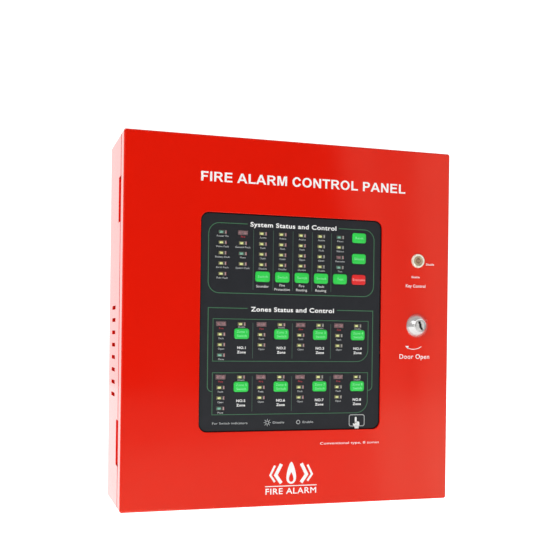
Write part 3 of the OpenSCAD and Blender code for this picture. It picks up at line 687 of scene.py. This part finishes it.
def door_print():
    """The white lettering and marks on the door's face. Text has a place, a capital's height and a width."""
    white = Print("door_lettering", FACE_Y, "door", "ink_door", "white_nylon")
    heading(white, "FIRE ALARM CONTROL PANEL", 12.2, 148.6, 9.8, 227.5)
    white.text("Disable", 157.0, 67.5, 2.2, 9.6, 0.06)
    white.text("Enable", 139.7, 53.1, 2.2, 9.6, 0.06)
    white.text("Key Control", 139.8, 43.3, 3.2, 23.6, 0.07)
    white.text("Door Open", 139.4, -34.0, 4.9, 35.9, 0.06)
    white.text("Conventional type, 8 zones", 64.5, -126.6, 2.4, 67.7)
    bend = arc(138.0, -9.5, 16.5, 305, 245, 18)
    white.line(bend, 0.7)
    tip = bend[-1]
    white.shape([(tip[0] - 3.0, tip[1] + 2.0), (tip[0] + 0.7, tip[1] - 1.5), (tip[0] + 1.4, tip[1] + 2.0)])
    emblem(white, -1.2, -156.6)
    white.lay()


# Bold capitals for the heading, in hundredths of their height: how far the pen moves on, then outlines.
# An outline is a list of points. Six numbers are an arc: centre, two radii, start and end in degrees.
GLYPHS = {
    " ": (39, []),
    "F": (85, [[(10, 0), (10, 100), (79, 100), (79, 83), (30, 83), (30, 59.5), (72, 59.5), (72, 42.5),
                (30, 42.5), (30, 0)]]),
    "I": (39, [[(9.5, 0), (9.5, 100), (30, 100), (30, 0)]]),
    "E": (93, [[(10, 0), (10, 100), (84, 100), (84, 83), (30, 83), (30, 61), (80.5, 61), (80.5, 44), (30, 44),
                (30, 17), (86, 17), (86, 0)]]),
    "L": (85, [[(10.5, 0), (10.5, 100), (31, 100), (31, 17), (81, 17), (81, 0)]]),
    "T": (85, [[(32.5, 0), (32.5, 83), (3, 83), (3, 100), (82.5, 100), (82.5, 83), (53, 83), (53, 0)]]),
    "N": (101, [[(10.5, 0), (10.5, 100), (30, 100), (71, 33), (71, 100), (90, 100), (90, 0), (69.5, 0),
                 (29, 65), (29, 0)]]),
    "M": (116, [[(10, 0), (10, 100), (40, 100), (58, 32), (76, 100), (106.5, 100), (106.5, 0), (88, 0),
                 (88, 79), (68, 0), (48.5, 0), (28.5, 79), (28.5, 0)]]),
    "A": (101, [[(0, 0), (39, 100), (60.5, 100), (100, 0), (78.5, 0), (69.5, 22.5), (29.5, 22.5), (21.5, 0)],
                [(36, 39.5), (49.5, 76.5), (63, 39.5)]]),
    "P": (93, [[(10, 0), (10, 100), (52, 100), (54, 69, 32, 31, 85, -85), (52, 38), (30, 38), (30, 0)],
               [(30, 55), (30, 83), (48, 83), (50, 69, 15, 14, 85, -85), (48, 55)]]),
    "R": (101, [[(10, 0), (10, 100), (58, 100), (60, 71.5, 30, 28.5, 85, -70), (75, 36), (99, 0), (75, 0),
                 (57, 30), (50, 39), (41, 41), (30, 41), (30, 0)],
                [(30, 58), (30, 84), (54, 84), (56, 71, 14, 13, 85, -85), (54, 58)]]),
    "O": (109, [[(54.3, 50, 48.3, 51.7, 360, 7.5)], [(54.3, 50, 27.5, 34.5, 360, 7.5)]]),
    "C": (101, [[(51.5, 50, 45, 51.7, 22, 338), (73.5, 36.5), (51.5, 50, 24, 34.5, -33, -327),
                 (73.5, 63.5)]]),
}
SIDE_BEARING = 10


def outline_points(outline):
    """The points of a GLYPHS outline, with its arcs drawn out."""
    points = []
    for part in outline:
        if len(part) == 2:
            points.append(part)
        else:
            x, z, across, up, start, end = part
            points += arc(x, z, across, start, end, max(6, int(abs(end - start) / 7.5)), up)
    return points


def heading(layer, text, x, z, cap, width):
    """Adds the heading in the bold capitals of GLYPHS, cap high and width wide, centred at x, z, in mm."""
    across = width / (sum(GLYPHS[letter][0] for letter in text) - 14)
    up = cap / 100
    pen = x - width / 2 - SIDE_BEARING * across
    for letter in text:
        advance, outlines = GLYPHS[letter]
        loops = []
        for outline in outlines:
            places = [(pen + px * across, z - cap / 2 + pz * up) for px, pz in outline_points(outline)]
            loops.append(flat_verts(layer.bm, places))
        if loops:
            fill_plane(layer.bm, loops)
        pen += advance * across


def emblem(layer, x, z):
    """A plain flame between two pairs of bent bars, over a base line and two plain words."""
    rungs = []
    for k in range(32):
        angle = 2 * math.pi * k / 32
        pull = 0.5 - 0.5 * math.cos(angle)
        side = math.sin(angle) * pull ** 0.7
        lean = math.sin(angle * 2) * 1.1 * (1 - pull)
        outer = (x + 7.9 * side + lean, z + 11.5 - 23 * pull)
        inner = (x + 3.6 * side, z + 1.0 - 10.5 * pull)
        rungs.append(flat_verts(layer.bm, (outer, inner)))
    for first, second in zip(rungs, rungs[1:] + rungs[:1]):
        layer.bm.faces.new((first[0], second[0], second[1], first[1]))
    for side in (-1, 1):
        layer.line([(x + side * 11, z + 9.5), (x + side * 17, z - 2), (x + side * 11, z - 10.5)], 3.6)
        layer.line([(x + side * 18, z + 8), (x + side * 23, z - 2), (x + side * 18, z - 9)], 2.2)
    layer.line([(x - 28.5, z - 13.6), (x + 28.5, z - 13.6)], 0.9)
    layer.text("FIRE ALARM", x, z - 18.9, 6.2, 56, 0.12)


# ---- facia: places in mm, counted from its middle

MIDDLE = WINDOW_X / MM
LED_X0, LED_PITCH_X, LED_Z0, LED_PITCH_Z = MIDDLE - 76.8, 21.55, 93.0, 10.73
ZONE_X0, ZONE_PITCH, ZONE_Z0, ZONE_FIELD, ZONE_KEY = MIDDLE - 77.1, 43.1, -1.4, 54.8, 21.6
LABEL_DROP = 4.25
FRAME_LINE = 0.75
DIVIDER_LINE = 0.5
LABEL_CAP = 1.75
FOOTER_Z = -103.7

# Each ink on the facia: its piece, its look and its slot
LAYERS = {
    "line": ("facia_lines", "ink_line", "key_green"),
    "divider": ("facia_dividers", "ink_divider", "key_green"),
    # black: a ring of painted shadow along the window's edge
    "black": ("facia_shadow_border", "ink_black", "facia"),
    # edge: a line of painted highlight down the window's right side
    "edge": ("facia_edge_highlight", "ink_edge", "white_nylon"),
    "white": ("facia_titles", "ink_white", "white_nylon"),
    "grey": ("facia_labels", "ink_grey", "white_nylon"),
    "red": ("facia_fire_labels", "ink_red", "led_red"),
}


def facia_print():
    """Everything printed on the facia: frames, dividers, titles, labels and symbols, with a black ring of
    painted shadow along the window's edge and a pale line of painted highlight down its right side.
    """
    layers = {
        key: Print(name, FACIA_LOW.y, "door", look, slot) for key, (name, look, slot) in LAYERS.items()
    }
    system_print(layers)
    zone_print(layers)
    footer_print(layers)
    width, height = WINDOW_W / MM, WINDOW_H / MM
    # A black ring just inside the window's edge: painted shadow of the door's edge on the facia, laid all
    # round.
    border = rounded_ring(width - 0.4, height - 0.4, WINDOW_R / MM, (MIDDLE, 0))
    layers["black"].line(border, 1.5, closed=True)
    # A pale pink line down part of the window's right edge: a painted highlight on that edge.
    right = MIDDLE + width / 2 - 0.25
    layers["edge"].line([(right, height * 0.21), (right, 0), (right, -height * 0.14)], 0.5)
    for layer in layers.values():
        layer.lay()


def system_print(layers):
    """The system field: its frame, dividers, title and labels."""
    white = layers["white"]
    half, low, high, corner, gap = 91.6, 30.3, 102.2, 11.5, 50.6
    x0, x1 = MIDDLE - half + corner, MIDDLE + half - corner
    path = [(MIDDLE + gap, high)]
    for x, z, start in ((x1, high - corner, 90), (x1, low + corner, 0), (x0, low + corner, 270)):
        path += arc(x, z, corner, start, start - 90)
    path += arc(x0, high - corner, corner, 180, 90) + [(MIDDLE - gap, high)]
    layers["line"].line(path, FRAME_LINE)
    white.text("System Status and Control", MIDDLE + 0.2, 102.1, 4.8, 95.2, 0.19)
    for k in range(5):
        x = LED_X0 + (k + 1.5) * LED_PITCH_X + 0.6
        layers["divider"].line([(x, 34.4), (x, 96.8)], DIVIDER_LINE)
    names = {
        0: ["Power On", "Mains Fault", "Battery Fault", "Earth Fault", "Fuse Fault"],
        1: ["Fire", "General Fault", "Mute", "System Fault"],
        6: ["Reset", "Silence", "Evacuate", "Test"],
    }
    for column in range(7):
        for row, name in enumerate(names.get(column, ["Active", "Fault", "Open", "Disable"])):
            x, z = LED_X0 + column * LED_PITCH_X, LED_Z0 - row * LED_PITCH_Z - LABEL_DROP
            layers["red" if name == "Fire" else "grey"].text(name, x, z, LABEL_CAP)
    for column, text in enumerate(("Sounder", "Fire Protection", "Fire Routing", "Fault Routing"), 2):
        top = 39.8 if " " in text else 38.2
        for k, word in enumerate(text.split()):
            white.text(word, LED_X0 + column * LED_PITCH_X, top - 4.3 * k, 2.5, stretch=1.06)


def zone_print(layers):
    """The two zone fields: their frames, dividers, title, labels and zone numbers."""
    line, white, grey, red = (layers[name] for name in ("line", "white", "grey", "red"))
    outer, top, gap, end, bend = 91.1, 14.9, 49.6, -71.0, 5
    inner, corner = 85.9, 13.0
    for side, start, stop in ((-1, 180, 270), (1, 0, -90)):
        path = [(MIDDLE + side * gap, top), (MIDDLE + side * outer, top)]
        path += arc(MIDDLE + side * (outer - bend), end + bend, bend, start, stop)
        line.line(path + [(MIDDLE + side * inner, end)], FRAME_LINE)
    white.text("Zones Status and Control", MIDDLE + 0.2, 14.2, 4.8, 91.9, 0.19)
    for field in range(2):
        low, high = -39.8 - 55 * field, 3.7 - 55.4 * field
        turn = arc(MIDDLE + inner - corner, low + corner, corner, 0, -90)
        left = MIDDLE - inner
        line.line([(left, low), (left, high), (MIDDLE + inner, high)] + turn, 0.6, closed=True)
        for k in range(3):
            x = ZONE_X0 + (k + 0.78) * ZONE_PITCH
            layers["divider"].line([(x, low + 3), (x, high - 3.6)], DIVIDER_LINE)
        for zone in range(4):
            x, z = ZONE_X0 + zone * ZONE_PITCH, ZONE_Z0 - field * ZONE_FIELD
            red.text("Fire", x, z - 4.6, LABEL_CAP)
            for step, label in enumerate(["Fault", "Open", "Mute"] if zone == 0 else ["Fault", "Open"], 1):
                grey.text(label, x, z - step * LED_PITCH_Z - LABEL_DROP, LABEL_CAP)
            x += ZONE_KEY
            grey.text("Disable", x, z - 3.1, 1.5)
            white.text(f"NO.{zone + 1 + 4 * field}", x, z - 24.4, 2.7, bold=0.12)
            white.text("Zone", x, z - 29.0, 2.7, bold=0.12)


def footer_print(layers):
    """The legend under the zones: what the switch indicators mean, and a pointing hand."""
    grey = layers["grey"]
    grey.text("For Switch indicators", MIDDLE - 66.8, FOOTER_Z, 2.1, 37.4)
    grey.text("Disable", MIDDLE - 14.3, FOOTER_Z, 2.1, 12.4)
    grey.text("Enable", MIDDLE + 18.2, FOOTER_Z, 2.1, 11.6)
    grey.ring(MIDDLE + 7.4, FOOTER_Z, 1.9, 0.5)
    sun = MIDDLE - 26.6
    grey.ring(sun, FOOTER_Z, 1.7, 0.45)
    rays = [circle_ring(radius, (sun, FOOTER_Z), 8) for radius in (2.5, 3.8)]
    for ray in zip(*rays):
        grey.line(ray, 0.45)
    grey.line(rounded_ring(17.4, 12, 2, (MIDDLE + 73.9, -103.0)), 0.6, closed=True)
    hand(layers["white"], MIDDLE + 73.6, -105.9)


def hand(layer, x, z):
    """A pointing hand: a round-tipped finger over a fist."""
    layer.shape([(x - 2.0, z)] + arc(x - 0.9, z + 5.6, 1.1, 180, 0, 8) + [(x + 0.2, z)])
    fist = [(-2.0, 1.6), (0.2, 1.6), (1.4, 1.9), (2.6, 1.5), (3.3, 0.8), (3.5, -2.2), (2.7, -4.4)]
    fist += [(2.6, -6.2), (-1.9, -6.2), (-2.1, -4.6), (-3.6, -2.2), (-4.1, -0.6), (-3.4, -0.1), (-2.0, -1.2)]
    layer.shape([(x + dx, z + dz) for dx, dz in fist])


KEY_TEXT = {"key_test": "Test", "key_reset": "Reset", "key_silence": "Silence", "key_evacuate": "Evacuate"}
KEY_FLANGE = 1.3 * MM
KEY_CORNER = 2.4 * MM
KEY_ROUND = 0.7 * MM
KEY_CROWN = 0.22 * MM
STEM_R = 1.75 * MM


def keys():
    """Sixteen domed keys, each with its printed word."""
    for name in [n for n in NODES if n.startswith("key_") and "switch" not in n]:
        low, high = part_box(name)
        middle = (low + high) / 2
        x, z, front = middle.x, middle.z, low.y
        flange_w, flange_h = high.x - low.x, high.z - low.z
        shoulder = FACIA_HIGH.y + 0.05 * MM

        def ring(inset):
            corner = max(KEY_CORNER - inset * 0.8, 0.4 * MM)
            edge = 2 * (KEY_FLANGE + inset)
            return rounded_ring(flange_w - edge, flange_h - edge, corner, (x, z))

        layers = [(ring(3.6 * MM), front), (ring(2.2 * MM), front + KEY_CROWN * 0.3)]
        for inward, back in quarter(4):
            layers.append((ring(KEY_ROUND * inward), front + KEY_CROWN + KEY_ROUND * back))
        flange = rounded_ring(flange_w, flange_h, KEY_CORNER + KEY_FLANGE, (x, z))
        layers += [(ring(0), shoulder), (flange, shoulder), (flange, shoulder + 0.8 * MM)]
        bm = bmesh.new()
        ring_stack(bm, layers)
        lathe(bm, [(STEM_R, shoulder + 0.7 * MM), (STEM_R, high.y)], middle, 24)
        tone, pale = ("key_red", "ink_key_red") if name == "key_evacuate" else ("key_green", "ink_key")
        piece(name + "_cap", bm, name, tone, name, 50)
        label = Print(name + "_word", front, name, pale, tone)
        if "zone" in name:
            label.text("Zone " + name[-1], x / MM, z / MM + 2.1, 2.4, stretch=1.1)
            label.text("Switch", x / MM, z / MM - 2.1, 2.4, stretch=1.1)
        else:
            label.text(KEY_TEXT.get(name, "Switch"), x / MM, z / MM, 2.5, stretch=1.1)
        label.lay()


LAMP_FRONT = FACIA_LOW.y + 0.35 * MM
LAMP_W, LAMP_H, LAMP_RIM = 8.5 * MM, 3.7 * MM, 0.28 * MM
WIDE_LAMP_W, WIDE_LAMP_H = 10.8 * MM, 4.9 * MM
WIDE_COLUMNS, WIDE_ROWS = 7, 3
LED_SHIFT = 1.9 * MM
LAMP_LOOKS = ["divider", "end_pink", "end_pale", "face_red"]


def dome(bm, x, z, width, height, rim, crown, material, steps=4):
    """A pillow-shaped lens. Its rim and its crown are depths in mm behind a lamp's front."""
    layers = []
    for inward, back in reversed(quarter(steps)):
        shrink = 0.81 * back * min(width, height)
        y = LAMP_FRONT + (crown - (crown - rim) * inward) * MM
        layers.append((rounded_ring(width - shrink, height - shrink, 0.5 * MM, (x, z), 4), y))
    ring_stack(bm, layers, material=material)


def lamp(bm, x, z, board, pale):
    """A single indicator: a tray with an unlit lens at the left, a divider and an end cell at the right."""
    left, right = x - LAMP_W / 2, x + LAMP_W / 2
    low, high = z - LAMP_H / 2 + LAMP_RIM, z + LAMP_H / 2 - LAMP_RIM

    def bar(x0, z0, x1, z1, front, back, material, soften):
        box(bm, (x0, LAMP_FRONT + front * MM, z0), (x1, LAMP_FRONT + back * MM, z1), material, soften * MM)

    slab(bm, x, z, LAMP_W / 2, LAMP_H / 2, LAMP_FRONT + 0.5 * MM, board, 0, 0.15 * MM)
    bar(left, low - LAMP_RIM, right, low, 0, 0.55, 0, 0.05)
    bar(left, high, right, high + LAMP_RIM, 0, 0.55, 0, 0.05)
    bar(left, low, left + LAMP_RIM, high, 0, 0.55, 0, 0.05)
    bar(right - LAMP_RIM, low, right, high, 0, 0.55, 0, 0.05)
    lens = left + 2.9 * MM
    dome(bm, lens, z, 4.7 * MM, LAMP_H - 0.7 * MM, 0.55, 0.12, 1)
    dome(bm, lens + 0.2 * MM, z - 0.1 * MM, 3.3 * MM, 2.1 * MM, 0.3, 0.02, 2)
    bar(left + 5.5 * MM, low, left + 6.9 * MM, high, 0.1, 0.6, 3, 0.1)
    bar(left + 7.0 * MM, low, left + 7.7 * MM, high, 0.03, 0.6, 5, 0.06)
    bar(left + 7.7 * MM, low, right - 0.05 * MM, high, 0.03, 0.6, 5 if pale else 4, 0.06)


def wide_lamp(bm, x, z, board):
    """A fire indicator: a wide ribbed face over two red lamps."""
    slab(bm, x, z, WIDE_LAMP_W / 2, WIDE_LAMP_H / 2, LAMP_FRONT + 0.3 * MM, board, 6, 0.15 * MM)
    w, h = WIDE_LAMP_W / WIDE_COLUMNS, WIDE_LAMP_H / WIDE_ROWS
    for i in range(WIDE_COLUMNS):
        for j in range(WIDE_ROWS):
            cx, cz = x + (i + 0.5) * w - WIDE_LAMP_W / 2, z + (j + 0.5) * h - WIDE_LAMP_H / 2
            dome(bm, cx, cz, w * 0.86, h * 0.84, 0.35, 0.08, 1, 3)
    for side in (-1, 1):
        dome(bm, x + side * 2.7 * MM, z, 2.6 * MM, 2.2 * MM, 0.25, 0.01, 2)


def lamps():
    """Every indicator as a lamp in its window, in front of its light-emitting diode on the board."""
    for colour in ("red", "yellow", "green"):
        bm = bmesh.new()
        fire = []
        leds = "leds_" + colour
        for low, high in islands(leds):
            middle = (low + high) / 2
            if colour == "red" and not (middle.x > 0.04 and middle.z > 0.06):
                fire.append((middle.x, middle.z, low.y))
                continue
            box(bm, low, high, 0, 0.1 * MM)
            lamp(bm, middle.x + LED_SHIFT, middle.z, low.y, pale=middle.x > 0.02 and colour != "red")
        for first, second in zip(fire[0::2], fire[1::2]):
            wide_lamp(bm, (first[0] + second[0]) / 2, *first[1:])
        looks = ["reflector", "lens_" + colour, "core_" + colour, *LAMP_LOOKS]
        piece("lamps_" + colour, bm, "door", looks, leds)


# ---- locks

THREAD_PITCH = 1.0 * MM
THREAD_DEPTH = 0.35 * MM


def threads(radius, start, end):
    """Profile points of a threaded barrel, as fine ridges."""
    points = []
    y = start
    while y + THREAD_PITCH < end:
        points += [(radius - THREAD_DEPTH, y), (radius, y + THREAD_PITCH / 2)]
        y += THREAD_PITCH
    return points + [(radius - THREAD_DEPTH, y), (radius - THREAD_DEPTH, end)]


def door_lock():
    """Chrome cam lock: tapered bezel, threaded barrel, and a plug with a zigzag keyway."""
    low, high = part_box("door_lock_body")
    rim, nose, bore = 13, 7.3, 6.1
    depth = (FACE_Y - low.y) / MM
    face = [(bore, 3.2), (bore, 0.35), (bore + 0.25, 0.05), (nose - 0.2, 0)]
    for k in range(9):
        share = k / 8
        swell = math.sin(math.pi * share) * 0.5
        face.append((nose + (rim - nose) * share + swell, 0.2 + (depth - 0.9) * share))
    face += [(rim, depth - 0.5), (rim, depth)]
    bm = bmesh.new()
    lathe(bm, turned(low.y, *face) + threads(9.45 * MM, FACE_Y, high.y), LOCK)
    piece("lock_bezel", bm, "door", "chrome", "door_lock_body", 30, True)

    low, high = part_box("door_lock_plug")
    tail = 3 * MM
    bm = bmesh.new()
    lathe(bm, turned(low.y, (4.85, 0.1), (5.55, 0.3), (5.95, 0.8), (5.95, (high.y - low.y) / MM - 2)), LOCK)
    slab(bm, LOCK.x, LOCK.z, tail, tail, high.y - 2.1 * MM, high.y, 0, 0.1 * MM)
    plug = piece("lock_plug", bm, "lock_rotor", "plug", "door_lock_plug")
    cut(plug, [cutter(keyway(1.0, low.y - 1 * MM, low.y + 10 * MM))], 30)
    # A near-black prism fills the keyway from 1 mm behind its mouth: painted shade in its depth.
    shadow = keyway(0.98, low.y + 1.0 * MM, low.y + 9.9 * MM)
    piece("lock_keyway_shade", shadow, "lock_rotor", "slot")


def keyway(size, start, end):
    """A closed bmesh of the lock's zigzag keyway, between two depths."""
    right = [(0.54, 4.68), (0.81, 2.52), (1.755, 1.44), (1.485, 0.36), (2.025, -0.72), (1.755, -1.8)]
    right += [(3.105, -2.7), (3.51, -4.68)]
    left = [(0.81, -4.68), (-0.135, -2.7), (-1.215, -1.98), (-0.945, -0.81), (-1.62, 0.18), (-1.215, 1.26)]
    left += [(-2.295, 2.16), (-2.295, 4.68)]
    points = [(LOCK.x + size * x * MM, LOCK.z + size * z * MM) for x, z in right + left]
    bm = bmesh.new()
    ring_stack(bm, [(points, start), (points, end)])
    return bm


def key_switch():
    """Pale round key switch with a recessed turning plug."""
    low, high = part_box("key_switch_body")
    depth = (FACE_Y - low.y) / MM
    rim, well = 7.4, 5.25
    face = [(4.65, 2.4), (well, 2.4), (well, 0.6), (well + 0.2, 0.15), (well + 0.6, 0), (rim - 0.8, 0.1)]
    face += [(rim - 0.15, 0.6), (rim + 0.2, depth - 0.3), (rim + 0.3, depth)]
    bm = bmesh.new()
    lathe(bm, turned(low.y, *face) + threads(5.95 * MM, FACE_Y, high.y), SWITCH)
    piece("switch_bezel", bm, "door", "cream", "key_switch_body", 30, True)

    low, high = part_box("key_switch_rotor")
    post, groove, rim = 2.0, 2.9, 4.55
    back = (high.y - low.y) / MM
    bm = bmesh.new()
    lathe(bm, turned(low.y, (post - 0.2, 0.5), (post, 0.7), (post, 3.5)), SWITCH, 48, 1)
    face = [(groove, 3), (groove, 0.75), (groove + 0.2, 0.55), (3.6, 0.55), (3.7, 0.95), (3.9, 0.95)]
    face += [(4.0, 0.55), (rim - 0.3, 0.55), (rim, 0.9), (rim, back - 7.1), (2.35, back - 7.1), (2.35, back)]
    lathe(bm, turned(low.y, *face), SWITCH, 64)
    looks = ["beige", "copper"]
    rotor = piece("switch_plug", bm, "switch_rotor", looks, "key_switch_rotor")
    cutters = []
    for z, half_w, half_h in ((-0.85, 0.45, 0.55), (0.85, 0.45, 0.55), (3.15, 0.5, 0.55)):
        bm = bmesh.new()
        place = SWITCH.z + z * MM
        slab(bm, SWITCH.x, place, half_w * MM, half_h * MM, low.y - 1 * MM, low.y + 2 * MM)
        cutters.append(cutter(bm))
    cut(rotor, cutters, 30)
    # A darker tan disc at the groove's floor, between the post and the plug's face: painted shade in the
    # groove.
    bm = bmesh.new()
    lathe(bm, turned(low.y, (groove - 0.05, 1.7), (groove - 0.05, 2.0)), SWITCH, 48)
    piece("switch_groove_shade", bm, "switch_rotor", "tan")


# ---- CAD nodes that stay, by their look and the width of their softened edges in mm

CAD_LOOKS = {
    ("paint", 0.3): "cabinet_shell",
    ("paint", 0.15): "hinge_frame_leaves hinge_door_leaves",
    ("facia", 0): "facia_plate",
    ("main", 0): "main_board",
    ("board", 0): "display_board",
    ("rubber", 0): "facia_gasket",
    ("rubber", 0.3): "cable_grommets",
    ("zinc", 0.1): "hinge_pins",
    ("zinc", 0.15): "board_standoffs display_studs display_nuts",
    ("zinc", 0.2): "cabinet_screws battery_strap key_switch_nut door_lock_cam cam_screw",
    ("zinc", 0.25): "power_supply_case",
    ("zinc", 0.3): "door_lock_nut",
    ("brass", 0.15): "battery_terminals earth_stud",
    ("tin", 0.15): "fuses",
    ("black", 0.1): "tact_switches",
    ("black", 0.12): "board_chips display_chips",
    ("black", 0.2): "power_supply_terminals ribbon_header",
    ("black", 0.4): "buzzer key_switch_contacts",
    ("white", 0.1): "display_spacers",
    ("terminal", 0.2): "terminal_blocks",
    ("relay", 0.35): "relays",
    ("sleeve", 0.5): "capacitors",
    ("battery", 1.2): "battery_left battery_right",
}
SHARP_ANGLE = 35


def cad_look(thing, look, width):
    """Gives a CAD node its material, and softens its edges with modifiers."""
    thing.data.materials.clear()
    thing.data.materials.append(M[look])
    if width:
        thing.modifiers.new("weld", "WELD").merge_threshold = 1e-6
        bevel = thing.modifiers.new("soften", "BEVEL")
        bevel.width = width * MM
        bevel.segments = 2
        bevel.limit_method = "ANGLE"
        bevel.angle_limit = math.radians(SHARP_ANGLE)
    finish_mesh(thing, SHARP_ANGLE, width > 0)


# ---- inside details

POLES = 7
PIN_PITCH, PIN_LENGTH, PIN_RISE, PIN_HALF = 2.54 * MM, 1.0 * MM, 1.8 * MM, 0.35 * MM


def vent_guard():
    """A painted strip inside the left wall, behind the vent slots, that keeps fingers and dust out."""
    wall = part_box("cabinet_shell")[0].x
    bm = bmesh.new()
    box(bm, (wall + 1.6 * MM, -58 * MM, -86 * MM), (wall + 2.4 * MM, -18 * MM, 24 * MM), 0, 0.2 * MM)
    piece("vent_guard", bm, "cabinet", "paint")


def terminal_screws():
    """A screw for each pole of the terminal blocks, on a near-black disc that paints the shade of its well,
    with a near-black bar across its head that paints the shade of its slot.
    """
    bm = bmesh.new()
    for low, high in islands("terminal_blocks"):
        size = high - low
        along = 0 if size.x > size.z else 2
        for k in range(POLES):
            centre = (low + high) / 2
            centre[along] = low[along] + (k + 0.5) * size[along] / POLES
            # The near-black disc under each screw is painted shade for its well.
            lathe(bm, turned(low.y, (1.9, -0.04), (1.9, 0.2)), centre, 20, 1)
            lathe(bm, turned(low.y, (1.35, -0.3), (1.55, -0.12), (1.55, 0)), centre, 20)
            # The near-black bar across the head is painted shade for the screw's slot.
            half_w, half_h = (1.3, 0.22) if k % 3 else (0.22, 1.3)
            front = low.y - 0.33 * MM
            slab(bm, centre.x, centre.z, half_w * MM, half_h * MM, front, low.y - 0.2 * MM, 1)
    piece("terminal_screws", bm, "cabinet", ["zinc", "slot"])


def capacitor_tops():
    """The metal top of each capacitor, with a cross of near-black bars laid on it: painted shade for a scored
    cross.
    """
    bm = bmesh.new()
    for low, high in islands("capacitors"):
        centre = (low + high) / 2
        cap = (high.x - low.x) / 2 / MM - 0.7
        lathe(bm, turned(low.y, (cap - 0.2, -0.08), (cap, -0.02), (cap, 0.3)), centre, 36)
        # Near-black bars on the top: painted shade standing in for the scored cross.
        for half_w, half_h in ((cap * 0.8, 0.12), (0.12, cap * 0.8)):
            front = low.y - 0.1 * MM
            slab(bm, centre.x, centre.z, half_w * MM, half_h * MM, front, low.y - 0.05 * MM, 1)
    piece("capacitor_tops", bm, "cabinet", ["aluminium", "slot"])


def chip_pins(node, body, outward):
    """Rows of tinned pins along the chips' longer sides. outward is 1 where the chips' feet are in front."""
    bm = bmesh.new()
    for low, high in islands(node):
        size = high - low
        along, across = (0, 2) if size.x > size.z else (2, 0)
        count = max(3, int(size[along] / PIN_PITCH))
        for k in range(count):
            middle = low[along] + (k + 0.5) * size[along] / count
            for start_across in (low[across] - PIN_LENGTH, high[across]):
                start, end = Vector(), Vector()
                start[along], end[along] = middle - PIN_HALF, middle + PIN_HALF
                start[across], end[across] = start_across, start_across + PIN_LENGTH
                start.y = low.y if outward > 0 else high.y - PIN_RISE
                end.y = start.y + PIN_RISE
                box(bm, start, end)
    piece(node + "_pins", bm, body, "tin")


def relay_marks():
    """A printed pin diagram on each relay."""
    boxes = islands("relays")
    marks = Print("relay_marks", boxes[0][0].y, "cabinet", "ink_white", "white_nylon")
    for low, high in boxes:
        x, z = (low.x + high.x) / 2 / MM, (low.z + high.z) / 2 / MM
        corners = [(x - 4, z - 2.5), (x + 4, z - 2.5), (x + 4, z + 2.5), (x - 4, z + 2.5)]
        marks.line(corners, 0.35, closed=True)
        marks.line([(x - 1.5, z - 2.5), (x + 1.5, z + 2.5)], 0.35)
    marks.lay()


def battery_details():
    """Each battery's lid, its row of vent caps, two ribs and a plain printed rating."""
    inset, lid, rib = 4 * MM, 0.9 * MM, 3 * MM
    for side in ("left", "right"):
        low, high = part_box("battery_" + side)
        middle = (low + high) / 2
        half = (high - low) / 2
        bm = bmesh.new()
        start = (low.x + inset, low.y + inset, high.z - 0.5 * MM)
        box(bm, start, (high.x - inset, high.y - inset, high.z + lid), 0, 0.4 * MM)
        for k in range(6):
            x, z = low.x + (24 + k * 20.6) * MM, high.z + lid + 0.3 * MM
            slab(bm, x, z, 6 * MM, 0.4 * MM, middle.y - 5 * MM, middle.y + 5 * MM, 0, 0.5 * MM)
        for z in (low.z + 9 * MM, high.z - 9 * MM):
            slab(bm, middle.x, z, half.x - rib, 1 * MM, low.y - 0.5 * MM, low.y + 0.5 * MM, 0, 0.3 * MM)
        piece("battery_lid_" + side, bm, "cabinet", "battery_lid")
        words = Print("battery_print_" + side, low.y, "cabinet", "ink_white", "white_nylon")
        x, z = middle.x / MM, low.z / MM
        words.text("12 V", x - 40, z + 72, 9, bold=0.3)
        words.text("7 Ah", x + 40, z + 72, 9, bold=0.3)
        words.lay()


def inside():
    """The small parts that show when the door is open, or through the vent slots."""
    vent_guard()
    terminal_screws()
    capacitor_tops()
    chip_pins("board_chips", "cabinet", 1)
    chip_pins("display_chips", "door", -1)
    relay_marks()
    battery_details()


camera()
studio()
for (look, width), nodes in CAD_LOOKS.items():
    for node in nodes.split():
        cad_look(NODES[node], look, width)
door_tray()
door_print()
facia_print()
keys()
lamps()
door_lock()
key_switch()
inside()
